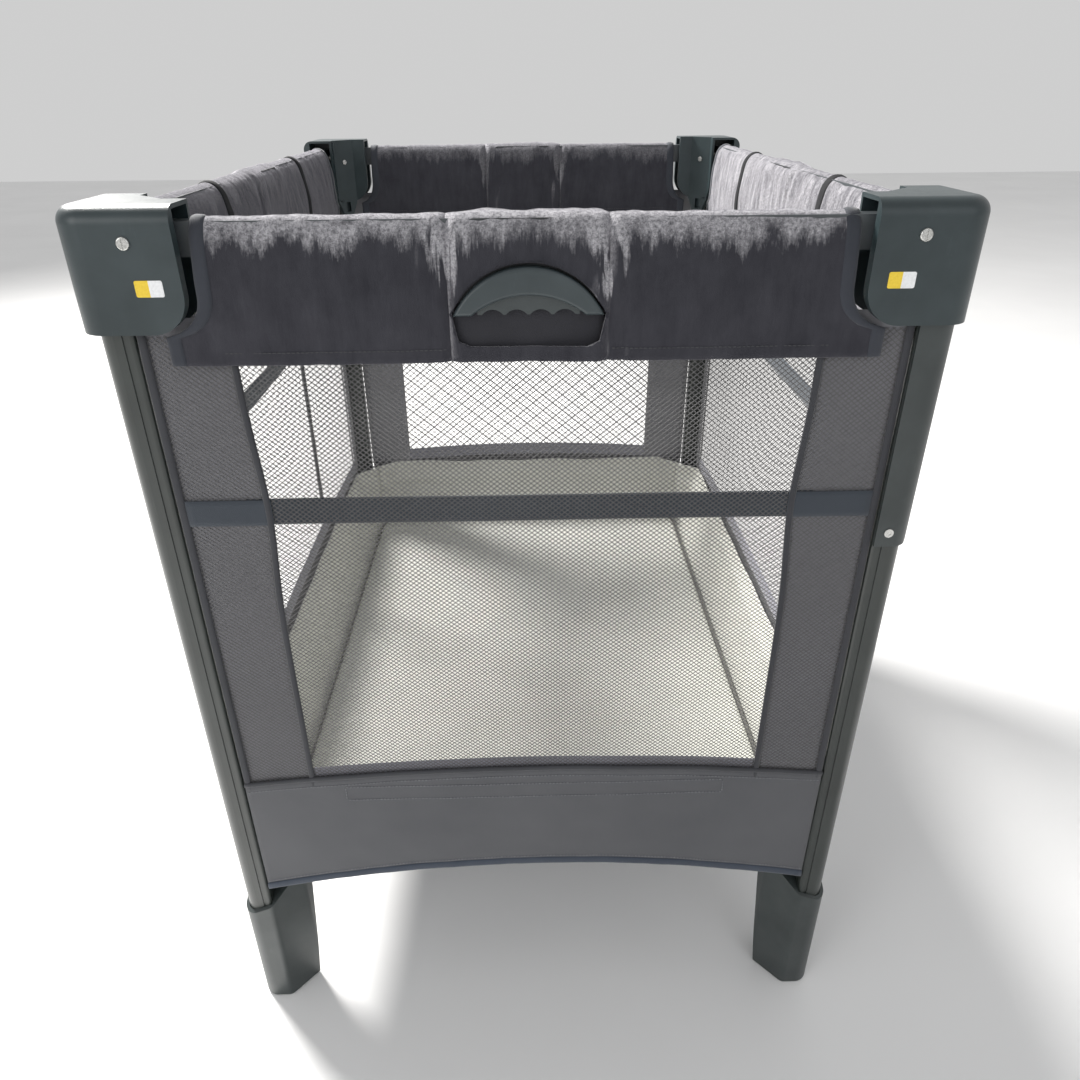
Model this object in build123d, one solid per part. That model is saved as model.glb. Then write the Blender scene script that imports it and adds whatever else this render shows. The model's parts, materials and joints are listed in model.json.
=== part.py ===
"""Folding travel play yard, standing open.

Frame: +X across the front, +Y from front to back, +Z up. The origin is on the floor, under the centre.
Four legs carry corner housings and feet. Every top rail is two half rails with a lock housing between
them. Four diagonal floor arms meet at a hub that rises as the frame folds.
"""
from build123d import *
import math
import os

# ---- driving dimensions, mm ----
WIDTH = 600.0  # outside the corner housings, left to right
LENGTH = 780.0  # outside the corner housings, front to back
HEIGHT = 798.0  # floor to the top of the housings
LEG_SIZE = 26.0  # leg tube, across its flats
LEG_WALL = 1.6
PANEL = 3.0  # wall of a moulded housing
CLEAR = 0.3  # gap between pieces that move past each other
RUNNING = 0.05  # radial gap of a pin in its bore
PIN_R = 3.0  # every pivot bolt and pin
PIVOT_Z = 776.0  # height of the rail pivots
PIVOT_X = 254.0  # corner pivots of the front and back rails
PIVOT_Y = 343.0  # corner pivots of the side rails
LOCK_HALF = 30.0  # from a rail's centre to each of its lock pivots
RAIL_HIGH = 22.0
RAIL_THICK = 14.0
RAIL_WALL = 1.5
HUB_PIVOT_R = 48.0  # from the hub's centre to each arm pivot
ARM_Z = 172.0  # height of the floor arm pivots
ARM_SIZE = 16.0
PIN_HEAD_R = 5.0  # flat heads of the pivot pins
PIN_HEAD = 1.3
LEG_GAP = 8.5  # housing face to leg face, with the housing's wall between
LEG_ROUND = 12.0  # rounding of a leg's outer corner
LEG_LOW = 15.0
GROOVE = 2.6  # width of the groove that runs down each outer face of a leg
GROOVE_AT = 5.5  # from the leg's edge to its groove
GROOVE_DEEP = 0.8
HOUSING_LOW = 718.0
HOUSING_END_X = 223.0
HOUSING_END_Y = 318.0
HOUSING_IN = 38.0  # depth of a housing's arms
HOUSING_WALL = 8.0  # its outer walls
HOUSING_BEVEL = 22.0  # run of the face across a housing's inner corner
HOUSING_ROUND = 20.0  # rounding of its outer upright corner
HOUSING_ROOF = 2.8
ROOF_ROUND = 11.0  # rounding between its roof and outer walls
MOUTH_R = 25.0  # rounding of the lower corner of each arm
WEDGE_DROP = 24.0  # how far the wedge hangs below the housing
WEDGE_THICK = 7.0
BOLT_REACH = 20.0  # how far a pivot bolt reaches inwards from its rail's centre plane
CLAMP_REACH = 9.0  # length of the screw in the bevelled face
CLAMP_R = 2.0
FOOT_WALL = 3.5  # from the foot's outer faces to the leg
FOOT_REACH_LOW = 57.0  # from the outer corner to the blade's inner end, at the floor
FOOT_REACH_TOP = 76.0
FOOT_OUTER_TOP = 130.0
FOOT_INNER_TOP = 168.0
CLEVIS_HALF = 11.5  # half of the clevis's width
SWING_HALF = 8.3  # half of the slot that a floor arm swings in
SWING_END = 9.5  # from an arm's pivot to the end of that slot
SLEEVE_LOW = 545.0
RIVET_IN = 16.5  # from the leg's outer face to the sleeve's rivet
RIVET_Z = 557.0
LOCK_LONG = 42.0  # half length of a lock housing
HANDLE_LONG = 46.0  # half length of the plate that carries the grip
LOCK_LOW = 760.0
LOCK_TOP = 787.5
ARCH_CENTRE_Z = 703.2
ARCH_R = 55.8
ARCH_LOW = 728.0
ARCH_FACE = -23.0  # front of the crescent, from the rail's centre plane
ARCH_BACK = -18.2  # bottom of the hollow behind it
TRIGGER_R = 46.0
TRIGGER_FACE = -17.8
TRIGGER_TRAVEL = 5.0
FINGER_R = 9.0
FINGER_PITCH = 16.0
COVER_LOW = 695.0
COVER_TOP = 791.5
FLAP_OUT = 17.0  # from the rail's centre plane to a cover's outside
FLAP = 3.0
SEAM = 0.1  # gap between the panels of a cover or a wall
FLARE_Z = 716.0
FLARE = 27.0  # how far a cover's lower corners reach under the housings
COVER_GAP = 10.0  # from a housing's arm to the cover's end
WINDOW_HALF = 52.0  # opening in a front or back cover, round the grip
WINDOW_LOW = 706.0
WINDOW_HIGH = 762.0
WALL_OUT = 11.0  # from the rail's centre plane to a wall's outside
WALL_THICK = 3.0
WALL_TOP = 715.0
WALL_LOW = 165.0
WALL_PANELS = 4
HEM_RISE = 28.0  # rise of a wall's arched hem
HUB_R = 61.0
HUB_BOSS_R = 36.0
HUB_LOW = 156.0
HUB_CAP_LOW = 177.0
HUB_CAP_TOP = 180.5
MATTRESS_X = 500.0
MATTRESS_Y = 700.0
MATTRESS_LOW = 183.6
MATTRESS_TOP = 205.0
LINER_LOW = 182.2
LINER_TOP = 300.0
LINER_THIN = 1.0
LINER_SPREAD = 4.0  # how much wider the liner is at its top

# ---- places worked out from them ----
HALF_X = WIDTH / 2
HALF_Y = LENGTH / 2
LEG_OUT_X = HALF_X - LEG_GAP
LEG_OUT_Y = HALF_Y - LEG_GAP
LEG_IN_X = LEG_OUT_X - LEG_SIZE
LEG_IN_Y = LEG_OUT_Y - LEG_SIZE
LEG_TOP = HEIGHT - 20
RIVET_X = LEG_OUT_X - RIVET_IN
RAIL_PLANE_X = HALF_X - 21  # centre plane of the side rails
RAIL_PLANE_Y = HALF_Y - 21  # centre plane of the front and back rails
ARM_LONG = math.hypot(PIVOT_X - LOCK_HALF, PIVOT_Y - LOCK_HALF)
ARM_DIR = ((PIVOT_X - LOCK_HALF) / ARM_LONG, (PIVOT_Y - LOCK_HALF) / ARM_LONG)
ARM_ANGLE = math.degrees(math.atan2(ARM_DIR[1], ARM_DIR[0]))
ARM_PIVOT_R = HUB_PIVOT_R + ARM_LONG  # from the centre to each leg's arm pivot
ROOF_LOW = HEIGHT - HOUSING_ROOF
PLATE_OUT = RAIL_THICK / 2 + 1.5 + PANEL  # outer face of a lock housing


# ---- helpers ----
def prism(points, low, high):
    """A vertical prism over an outline."""
    return extrude(Pos(0, 0, low) * Polygon(*points, align=None), amount=high - low, dir=(0, 0, 1))


def block(x, y, z):
    """A box from its three pairs of limits."""
    size = (x[1] - x[0], y[1] - y[0], z[1] - z[0])
    return Pos((x[0] + x[1]) / 2, (y[0] + y[1]) / 2, (z[0] + z[1]) / 2) * Box(*size)


def rod(centre, direction, radius, start, end):
    """A cylinder about an axis, from start to end along its direction."""
    plane = Plane(origin=centre, z_dir=direction).offset(start)
    return extrude(plane * Circle(radius), amount=end - start)


def screw(centre, direction, head_at, tip_at, radius=PIN_R):
    """A screw from its head, low and domed with a slot across it, to its tip."""
    shank = rod(centre, direction, radius, tip_at, head_at)
    head = rod(centre, direction, radius + 1.2, head_at, head_at + 1.6)
    rim = head.edges().filter_by(GeomType.CIRCLE).sort_by_distance(shank.center())[-1:]
    head = fillet(rim, 1.0)
    slot_plane = Plane(origin=centre, z_dir=direction).offset(head_at + 1.1)
    slot = extrude(slot_plane * Rectangle(12, 1.1), amount=2)
    return (shank + head) - slot


def upright_edges(part, x, y, reach=0.6):
    """The vertical edges of a part that pass close to a point in plan."""
    near = []
    for edge in part.edges().filter_by(Axis.Z):
        middle = edge.center()
        if math.hypot(middle.X - x, middle.Y - y) < reach:
            near.append(edge)
    return near


def bar(start, end, high, thick, wall):
    """A flattened tube along X between two pivots, with round ends about them and a bore at each."""
    long = end - start
    profile = Plane.XZ * (Pos((start + end) / 2, 0) * SlotCenterToCenter(long, high))
    solid = extrude(profile, amount=thick / 2, both=True)
    far = long + high
    hollow = Pos((start + end) / 2, 0, 0) * Box(far, thick - 2 * wall, high - 2 * wall)
    solid -= hollow
    for s in (start, end):
        solid -= Pos(s, 0, 0) * (Rot(90, 0, 0) * Cylinder(PIN_R + RUNNING, thick + 2))
    return solid


SIDES = {"front": (0, 0, -RAIL_PLANE_Y), "right": (90, RAIL_PLANE_X, 0), "back": (180, 0, RAIL_PLANE_Y),
         "left": (270, -RAIL_PLANE_X, 0)}  # turn about Z, then the place of the rail's centre


def on_side(part, side):
    """Puts a piece made for a rail along X with its outer face towards -Y onto one of the four sides."""
    turn, x, y = SIDES[side]
    return Pos(x, y, 0) * Rot(0, 0, turn) * part


def in_corner(part, sx, sy):
    """Puts a piece made for the corner at +X +Y into any corner, by mirroring."""
    if sx < 0:
        part = mirror(part, about=Plane.YZ)
    if sy < 0:
        part = mirror(part, about=Plane.XZ)
    return part


# ---- corner pieces, made for the corner at +X +Y ----
def bevel_middle():
    """A point on the bevelled inner face of a housing, where its clamp screw goes in."""
    shift = HOUSING_IN + HOUSING_BEVEL / 2
    return (HALF_X - shift, HALF_Y - shift, PIVOT_Z - 6)


def wedge_at_bevel(in_x, in_y):
    """The pointed wedge under a housing's bevelled face, with a deep slot and two shallow recesses."""
    half = HOUSING_BEVEL / math.sqrt(2)
    top = HOUSING_LOW + 24
    tip = HOUSING_LOW - WEDGE_DROP
    outline = [(-half, HOUSING_LOW), (-4, tip), (4, tip), (half, HOUSING_LOW), (half, top), (-half, top)]
    middle = (in_x - HOUSING_BEVEL / 2, in_y - HOUSING_BEVEL / 2, 0)
    face = Plane(origin=middle, x_dir=(1, -1, 0), z_dir=(-1, -1, 0))
    wedge = extrude(face * Polygon(*outline, align=None), amount=-WEDGE_THICK)
    wedge -= extrude(face * (Pos(0, HOUSING_LOW + 4) * Rectangle(7, 34)), amount=-5)
    for side in (-1, 1):
        wedge -= extrude(face * (Pos(side * 9.5, HOUSING_LOW + 10) * Rectangle(6, 18)), amount=-1.5)
    return wedge


def make_housing():
    """Moulded corner cap: two box arms open at their ends and below, with a slotted wedge inside."""
    in_x, in_y = HALF_X - HOUSING_IN, HALF_Y - HOUSING_IN
    plan = [(HOUSING_END_X, HALF_Y), (HOUSING_END_X, in_y), (in_x - HOUSING_BEVEL, in_y),
            (in_x, in_y - HOUSING_BEVEL), (in_x, HOUSING_END_Y), (HALF_X, HOUSING_END_Y), (HALF_X, HALF_Y)]
    shell = prism(plan, HOUSING_LOW, HEIGHT)
    shell = fillet(upright_edges(shell, HALF_X, HALF_Y), HOUSING_ROUND)
    roof = shell.faces().sort_by(Axis.Z)[-1]
    outer = [e for e in roof.edges() if e.center().X > HALF_X - 12 or e.center().Y > HALF_Y - 12]
    outer = [e for e in outer if e.length > 20]
    shell = fillet(outer, ROOF_ROUND)
    wall_x, wall_y = HALF_X - HOUSING_WALL, HALF_Y - HOUSING_WALL
    low, high = HOUSING_LOW - 1, ROOF_LOW
    cavity = block((HOUSING_END_X - 5, wall_x), (in_y + PANEL, wall_y), (low, high))
    cavity += block((in_x + PANEL, wall_x), (HOUSING_END_Y - 5, wall_y), (low, high))
    cavity = fillet(upright_edges(cavity, wall_x, wall_y), 13)
    cavity -= block((in_x + 5, HALF_X), (in_y + 5, HALF_Y), (HEIGHT - 20, HEIGHT))
    shell -= cavity
    r = MOUTH_R
    mouth = (HOUSING_LOW, HOUSING_LOW + r)
    round_x = block((HOUSING_END_X, HOUSING_END_X + r), (in_y - 5, HALF_Y + 5), mouth)
    round_x -= rod((HOUSING_END_X + r, in_y - 6, HOUSING_LOW + r), (0, 1, 0), r, 0, HOUSING_IN + 12)
    round_y = block((in_x - 5, HALF_X + 5), (HOUSING_END_Y, HOUSING_END_Y + r), mouth)
    round_y -= rod((in_x - 6, HOUSING_END_Y + r, HOUSING_LOW + r), (1, 0, 0), r, 0, HOUSING_IN + 12)
    shell = shell - round_x - round_y
    shell += wedge_at_bevel(in_x, in_y)
    shell -= rod((PIVOT_X, RAIL_PLANE_Y, PIVOT_Z), (0, 1, 0), PIN_R, -BOLT_REACH, HOUSING_IN)
    shell -= rod((RAIL_PLANE_X, PIVOT_Y, PIVOT_Z), (1, 0, 0), PIN_R, -BOLT_REACH, HOUSING_IN)
    return shell - rod(bevel_middle(), (-1, -1, 0), CLAMP_R, -CLAMP_REACH, 1)


def make_leg():
    """Steel leg tube, open at both ends, rounded outside, with a shallow groove down its outer faces."""
    tube = block((LEG_IN_X, LEG_OUT_X), (LEG_IN_Y, LEG_OUT_Y), (LEG_LOW, LEG_TOP))
    tube = fillet(upright_edges(tube, LEG_OUT_X, LEG_OUT_Y), LEG_ROUND)
    for x, y in ((LEG_IN_X, LEG_OUT_Y), (LEG_OUT_X, LEG_IN_Y), (LEG_IN_X, LEG_IN_Y)):
        tube = fillet(upright_edges(tube, x, y), 3)
    hollow = block((LEG_IN_X + LEG_WALL, LEG_OUT_X - LEG_WALL), (LEG_IN_Y + LEG_WALL, LEG_OUT_Y - LEG_WALL),
                   (LEG_LOW - 1, LEG_TOP + 1))
    hollow = fillet(upright_edges(hollow, LEG_OUT_X - LEG_WALL, LEG_OUT_Y - LEG_WALL), LEG_ROUND - LEG_WALL)
    tube -= hollow
    tall = (LEG_LOW - 1, LEG_TOP + 1)
    x, y = LEG_IN_X + GROOVE_AT, LEG_IN_Y + GROOVE_AT
    tube -= block((x, x + GROOVE), (LEG_OUT_Y - GROOVE_DEEP, HALF_Y), tall)
    return tube - block((LEG_OUT_X - GROOVE_DEEP, HALF_X), (y, y + GROOVE), tall)


def leg_envelope(gap, low, high):
    """The space that the leg tube fills, grown by a gap."""
    space = block((LEG_IN_X - gap, LEG_OUT_X + gap), (LEG_IN_Y - gap, LEG_OUT_Y + gap), (low, high))
    return fillet(upright_edges(space, LEG_OUT_X + gap, LEG_OUT_Y + gap), LEG_ROUND - 1)


def along_arm(part):
    """Turns and moves a piece from an arm's own line, along X, to the arm at +X +Y."""
    return Rot(0, 0, ARM_ANGLE) * part


def make_foot():
    """Moulded foot: a tall blade set across the corner with a slanted top, a socket and the arm's clevis."""
    x, y = LEG_OUT_X + FOOT_WALL, LEG_OUT_Y + FOOT_WALL
    plan = [(x, y), (x - 30, y), (x - 57, y - 30), (x - 61, y - 47), (x - 51, y - 57), (x - 24, y - 50),
            (x, y - 30)]
    blade = prism(plan, 0, FOOT_INNER_TOP)
    for corner, radius in zip(plan, (15, 8, 8, 4, 4, 8, 8)):
        blade = fillet(upright_edges(blade, *corner), radius)
    lean = math.degrees(math.atan2(FOOT_REACH_TOP - FOOT_REACH_LOW, FOOT_INNER_TOP))
    beyond = Rot(0, -lean, 0) * (Pos(-100, 0, 0) * Box(200, 200, 500))
    blade -= Pos(x, y, 0) * Rot(0, 0, 45) * Pos(-FOOT_REACH_LOW, 0, 0) * beyond
    blade = fillet(blade.faces().sort_by(Axis.Z)[0].edges(), 3)
    slope = math.degrees(math.atan2(FOOT_INNER_TOP - FOOT_OUTER_TOP, FOOT_REACH_TOP - 10))
    across = Rot(0, 0, 45) * (Rot(0, slope, 0) * (Pos(0, 0, 100) * Box(400, 400, 200)))
    blade -= Pos(x, y, FOOT_OUTER_TOP) * across
    clevis = Pos(ARM_PIVOT_R, 0, 0) * block((-9, 20), (-CLEVIS_HALF, CLEVIS_HALF), (ARM_Z - 9, ARM_Z + 9))
    swing = block((-30, SWING_END), (-SWING_HALF, SWING_HALF), (ARM_Z - 8.5, ARM_Z + 20))
    swing = Pos(ARM_PIVOT_R, 0, 0) * swing
    bore = rod((ARM_PIVOT_R, 0, ARM_Z), (0, 1, 0), PIN_R, -20, 20)
    clevis = along_arm(clevis - swing - bore)
    clevis -= block((200, 300), (RAIL_PLANE_Y + 3, HALF_Y + 20), (100, 200))
    foot = blade + clevis
    foot -= leg_envelope(0.1, LEG_LOW, HEIGHT)
    return foot - along_arm(swing)


def make_sleeve():
    """Guard over the two outer faces of a leg, with a cut lower corner."""
    x, y = LEG_OUT_X + PANEL, LEG_OUT_Y + PANEL
    guard = block((LEG_IN_X, x), (LEG_IN_Y, y), (SLEEVE_LOW, HOUSING_LOW - CLEAR))
    guard = fillet(upright_edges(guard, x, y), LEG_ROUND + PANEL)
    guard -= leg_envelope(0.1, SLEEVE_LOW - 1, HEIGHT)
    guard -= rod((RIVET_X, LEG_OUT_Y - 4, RIVET_Z), (0, 1, 0), 2.0, 0, 10)
    cut = Pos(x, y - 15, SLEEVE_LOW) * Rot(0, 45, 0) * Box(6, 40, 6)
    return guard - cut


def make_fasteners(with_rivet):
    """The rail pivot bolts, the clamp screw, the floor arm's pin and, with a sleeve, its rivet."""
    wall_out = HALF_Y - RAIL_PLANE_Y
    bolts = [screw((PIVOT_X, RAIL_PLANE_Y, PIVOT_Z), (0, 1, 0), wall_out, -BOLT_REACH),
             screw((RAIL_PLANE_X, PIVOT_Y, PIVOT_Z), (1, 0, 0), wall_out, -BOLT_REACH),
             screw(bevel_middle(), (-1, -1, 0), 0, -CLAMP_REACH, CLAMP_R)]
    pin = rod((ARM_PIVOT_R, 0, ARM_Z), (0, 1, 0), PIN_R, -CLEVIS_HALF, CLEVIS_HALF)
    for face in (-CLEVIS_HALF - PIN_HEAD, CLEVIS_HALF):
        pin += rod((ARM_PIVOT_R, 0, ARM_Z), (0, 1, 0), PIN_HEAD_R, face, face + PIN_HEAD)
    pieces = bolts + [along_arm(pin)]
    if with_rivet:
        face = LEG_OUT_Y + PANEL
        rivet = rod((RIVET_X, face, RIVET_Z), (0, 1, 0), 2.0, -2.8, 0)
        head = rod((RIVET_X, face, RIVET_Z), (0, 1, 0), 3.6, 0, 0.9)
        head -= rod((RIVET_X, face, RIVET_Z), (0, 1, 0), 1.6, 0.5, 2)
        pieces.append(rivet + head)
    return Compound(children=[p.solid() for p in pieces])


# ---- rail pieces, made for a rail along X with its outer face towards -Y ----
def make_lock(with_handle):
    """Centre lock housing: a channel round both half rails, with a cap between their swinging ends."""
    plates = block((-LOCK_LONG, LOCK_LONG), (-PLATE_OUT, PLATE_OUT), (LOCK_LOW, LOCK_TOP))
    plates = fillet(plates.edges().filter_by(Axis.Y), 8)
    inner = PLATE_OUT - PANEL
    plates -= block((-60, 60), (-inner, inner), (LOCK_LOW + PANEL, HEIGHT))
    cap = block((-16, 16), (-inner, inner), (LOCK_TOP - PANEL, LOCK_TOP))
    lock = plates + cap
    if with_handle:
        plate_z = (ARCH_LOW + 7, LOCK_LOW + 8)
        lock += block((-HANDLE_LONG, HANDLE_LONG), (-PLATE_OUT - 1, -PLATE_OUT + PANEL), plate_z)
    else:
        lock -= block((-14.4, 14.4), (-6.4, 6.4), (LOCK_LOW - 1, LOCK_LOW + PANEL + 1))
    for s in (-LOCK_HALF, LOCK_HALF):
        lock -= rod((s, 0, PIVOT_Z), (0, 1, 0), PIN_R, -20, 20)
    return lock


def make_lock_pins():
    """The two pivot pins of a lock housing, with flat heads outside its plates."""
    pins = []
    for s in (-LOCK_HALF, LOCK_HALF):
        pin = rod((s, 0, PIVOT_Z), (0, 1, 0), PIN_R, -PLATE_OUT, PLATE_OUT)
        for face in (-PLATE_OUT - PIN_HEAD, PLATE_OUT):
            pin += rod((s, 0, PIVOT_Z), (0, 1, 0), PIN_HEAD_R, face, face + PIN_HEAD)
        pins.append(pin.solid())
    return Compound(children=pins)


def make_crescent():
    """Crescent grip plate over the release trigger, hollow behind for the trigger's travel."""
    disc = rod((0, 0, ARCH_CENTRE_Z), (0, 1, 0), ARCH_R, ARCH_FACE, -PLATE_OUT - 1)
    below = block((-60, 60), (-30, 0), (ARCH_LOW - 60, ARCH_LOW))
    reach, rise = 38.0, 13.0
    inner_r = (reach ** 2 + rise ** 2) / (2 * rise)
    inner = rod((0, 0, ARCH_LOW + rise - inner_r), (0, 1, 0), inner_r, ARCH_FACE - 5, 5)
    crescent = disc - below - inner
    front = crescent.faces().sort_by(Axis.Y)[0]
    crescent = fillet(front.edges(), 2.4)
    reach, pressed = TRIGGER_R + 0.4, ARCH_CENTRE_Z + TRIGGER_TRAVEL + CLEAR
    room = rod((0, 0, pressed), (0, 1, 0), reach, ARCH_BACK, -PLATE_OUT)
    room += block((-reach, reach), (ARCH_BACK, -PLATE_OUT), (ARCH_LOW - 30, ARCH_LOW + 2))
    return crescent - room


def make_trigger():
    """Release trigger behind the crescent, with four finger hollows along its lower edge."""
    plate = rod((0, 0, ARCH_CENTRE_Z), (0, 1, 0), TRIGGER_R, TRIGGER_FACE, -PLATE_OUT - 1.3)
    plate -= block((-60, 60), (-30, 0), (ARCH_CENTRE_Z - 60, ARCH_LOW + 2))
    plate += block((-34, 34), (TRIGGER_FACE, -PLATE_OUT - 1.3), (ARCH_LOW, ARCH_LOW + 6))
    for n in range(4):
        plate -= rod(((n - 1.5) * FINGER_PITCH, 0, ARCH_LOW - 5.6), (0, 1, 0), FINGER_R, -30, 5)
    return plate


def make_button():
    """Release button under a side rail's lock, with a flange that keeps it in."""
    stem = block((-14, 14), (-6, 6), (LOCK_LOW - 7, LOCK_LOW + 8))
    stem = fillet(stem.edges().group_by(Axis.Z)[0], 2)
    return stem + block((-17, 17), (-7.5, 7.5), (LOCK_LOW + PANEL + CLEAR, LOCK_LOW + PANEL + 2.3))


def make_cover(half, flare, with_window):
    """Padded cover over a rail, open below: panels of cloth a seam apart, with the grip's window."""
    face, under = -FLAP_OUT + FLAP, COVER_TOP - FLAP
    crown = block((-half, half), (-FLAP_OUT, FLAP_OUT), (under, COVER_TOP))
    ridge = [e for e in crown.edges().filter_by(Axis.X) if e.center().Z > COVER_TOP - 0.5]
    tall = (COVER_LOW, under - SEAM)
    panels = [fillet(ridge, FLAP - 0.5), block((-half, half), (-face, FLAP_OUT), tall)]
    for s in (-1, 1):
        ends = sorted((s * (half + SEAM), s * (half + flare)))
        panels.append(block(ends, (-FLAP_OUT, face), (COVER_LOW, FLARE_Z)))
    if with_window:
        for s in (-1, 1):
            ends = sorted((s * (WINDOW_HALF + SEAM), s * half))
            panels.append(block(ends, (-FLAP_OUT, face), tall))
        for low, high in ((COVER_LOW, WINDOW_LOW), (WINDOW_HIGH, under - SEAM)):
            panels.append(block((-WINDOW_HALF, WINDOW_HALF), (-FLAP_OUT, face), (low, high)))
    else:
        panels.append(block((-half, half), (-FLAP_OUT, face), tall))
    return Compound([panel.solid() for panel in panels])


# ---- floor ----
def arm_turns():
    """The four arms' directions in plan, in degrees from +X."""
    return {(1, 1): ARM_ANGLE, (-1, 1): 180 - ARM_ANGLE, (-1, -1): 180 + ARM_ANGLE, (1, -1): -ARM_ANGLE}


def make_arm(sx, sy):
    """Floor arm: a flattened square tube from the hub to a leg."""
    tube = bar(HUB_PIVOT_R, ARM_PIVOT_R, ARM_SIZE, ARM_SIZE, RAIL_WALL)
    return Rot(0, 0, arm_turns()[sx, sy]) * Pos(0, 0, ARM_Z) * tube


def make_hub_base():
    """Hub: a round base with a boss and a clevis for each arm, slotted so that the arms swing down."""
    base = Pos(0, 0, HUB_LOW + 3) * Cylinder(HUB_R, 6)
    base += Pos(0, 0, (HUB_LOW + HUB_CAP_LOW) / 2) * Cylinder(HUB_BOSS_R, HUB_CAP_LOW - HUB_LOW)
    for turn in arm_turns().values():
        ears = block((30, 57), (-12, 12), (HUB_LOW, ARM_Z + 8))
        base += Rot(0, 0, turn) * ears
    for turn in arm_turns().values():
        inner_end = HUB_PIVOT_R - ARM_SIZE / 2 - 2 * CLEAR
        slot = block((inner_end, 80), (-SWING_HALF, SWING_HALF), (HUB_LOW - 1, ARM_Z + 20))
        slot += rod((HUB_PIVOT_R, 0, ARM_Z), (0, 1, 0), PIN_R, -20, 20)
        base -= Rot(0, 0, turn) * slot
    return base - Pos(0, 0, HUB_CAP_LOW + 5) * Cylinder(HUB_BOSS_R + 0.4, 10)


def make_hub_cap():
    """Round cap over the hub's boss."""
    cap = Pos(0, 0, (HUB_CAP_LOW + HUB_CAP_TOP) / 2) * Cylinder(HUB_BOSS_R, HUB_CAP_TOP - HUB_CAP_LOW)
    return fillet(cap.edges().group_by(Axis.Z)[-1], 1.2)


def make_hub_pins():
    """The four pins that join the arms to the hub."""
    pins = []
    for turn in arm_turns().values():
        pin = rod((HUB_PIVOT_R, 0, ARM_Z), (0, 1, 0), PIN_R, -12, 12)
        pins.append((Rot(0, 0, turn) * pin).solid())
    return Compound(children=pins)


def make_hub_strap():
    """Webbing loop on the hub's cap, pulled up to fold the frame."""
    loop = block((-46, 46), (-12.5, 12.5), (HUB_CAP_TOP + 0.1, HUB_CAP_TOP + 1.5))
    return loop - block((-38, 38), (-6, 6), (HUB_CAP_TOP, HUB_CAP_TOP + 2))


def make_mattress():
    """Mattress pad."""
    half_x, half_y = MATTRESS_X / 2, MATTRESS_Y / 2
    pad = block((-half_x, half_x), (-half_y, half_y), (MATTRESS_LOW, MATTRESS_TOP))
    return fillet(pad.edges().filter_by(Axis.Z), 30)


def make_floor_fabric():
    """Floor sheet with its sloping liner: an open tray of thin fabric round the mattress."""
    x, y = MATTRESS_X + 4, MATTRESS_Y + 2
    solids = []
    for inset, raise_low, raise_top in ((0, 0, 0), (2 * LINER_THIN, LINER_THIN, 1)):
        low = RectangleRounded(x - inset, y - inset, 12 - inset / 2)
        top = RectangleRounded(x - inset + LINER_SPREAD, y - inset + LINER_SPREAD, 12 - inset / 2)
        solids.append(loft([Pos(0, 0, LINER_LOW + raise_low) * low, Pos(0, 0, LINER_TOP + raise_top) * top]))
    outer, inner = solids
    return outer - inner


def hem_height(s, half):
    """Height of a wall's arched hem at a distance from its centre."""
    return WALL_LOW + HEM_RISE * (1 - (s / half) ** 2)


def make_wall(half):
    """Side wall between two legs: flat panels a seam apart, with an arched lower hem."""
    face = Plane.XZ.offset(WALL_OUT - WALL_THICK)
    wide = 2 * half / WALL_PANELS
    panels = []
    for n in range(WALL_PANELS):
        start, end = n * wide - half, (n + 1) * wide - half
        corners = [(start, WALL_TOP), (start, hem_height(start, half)), (end - SEAM, hem_height(end, half)),
                   (end - SEAM, WALL_TOP)]
        panels.append(extrude(face * Polygon(*corners, align=None), amount=WALL_THICK))
    return Compound([panel.solid() for panel in panels])


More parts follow.
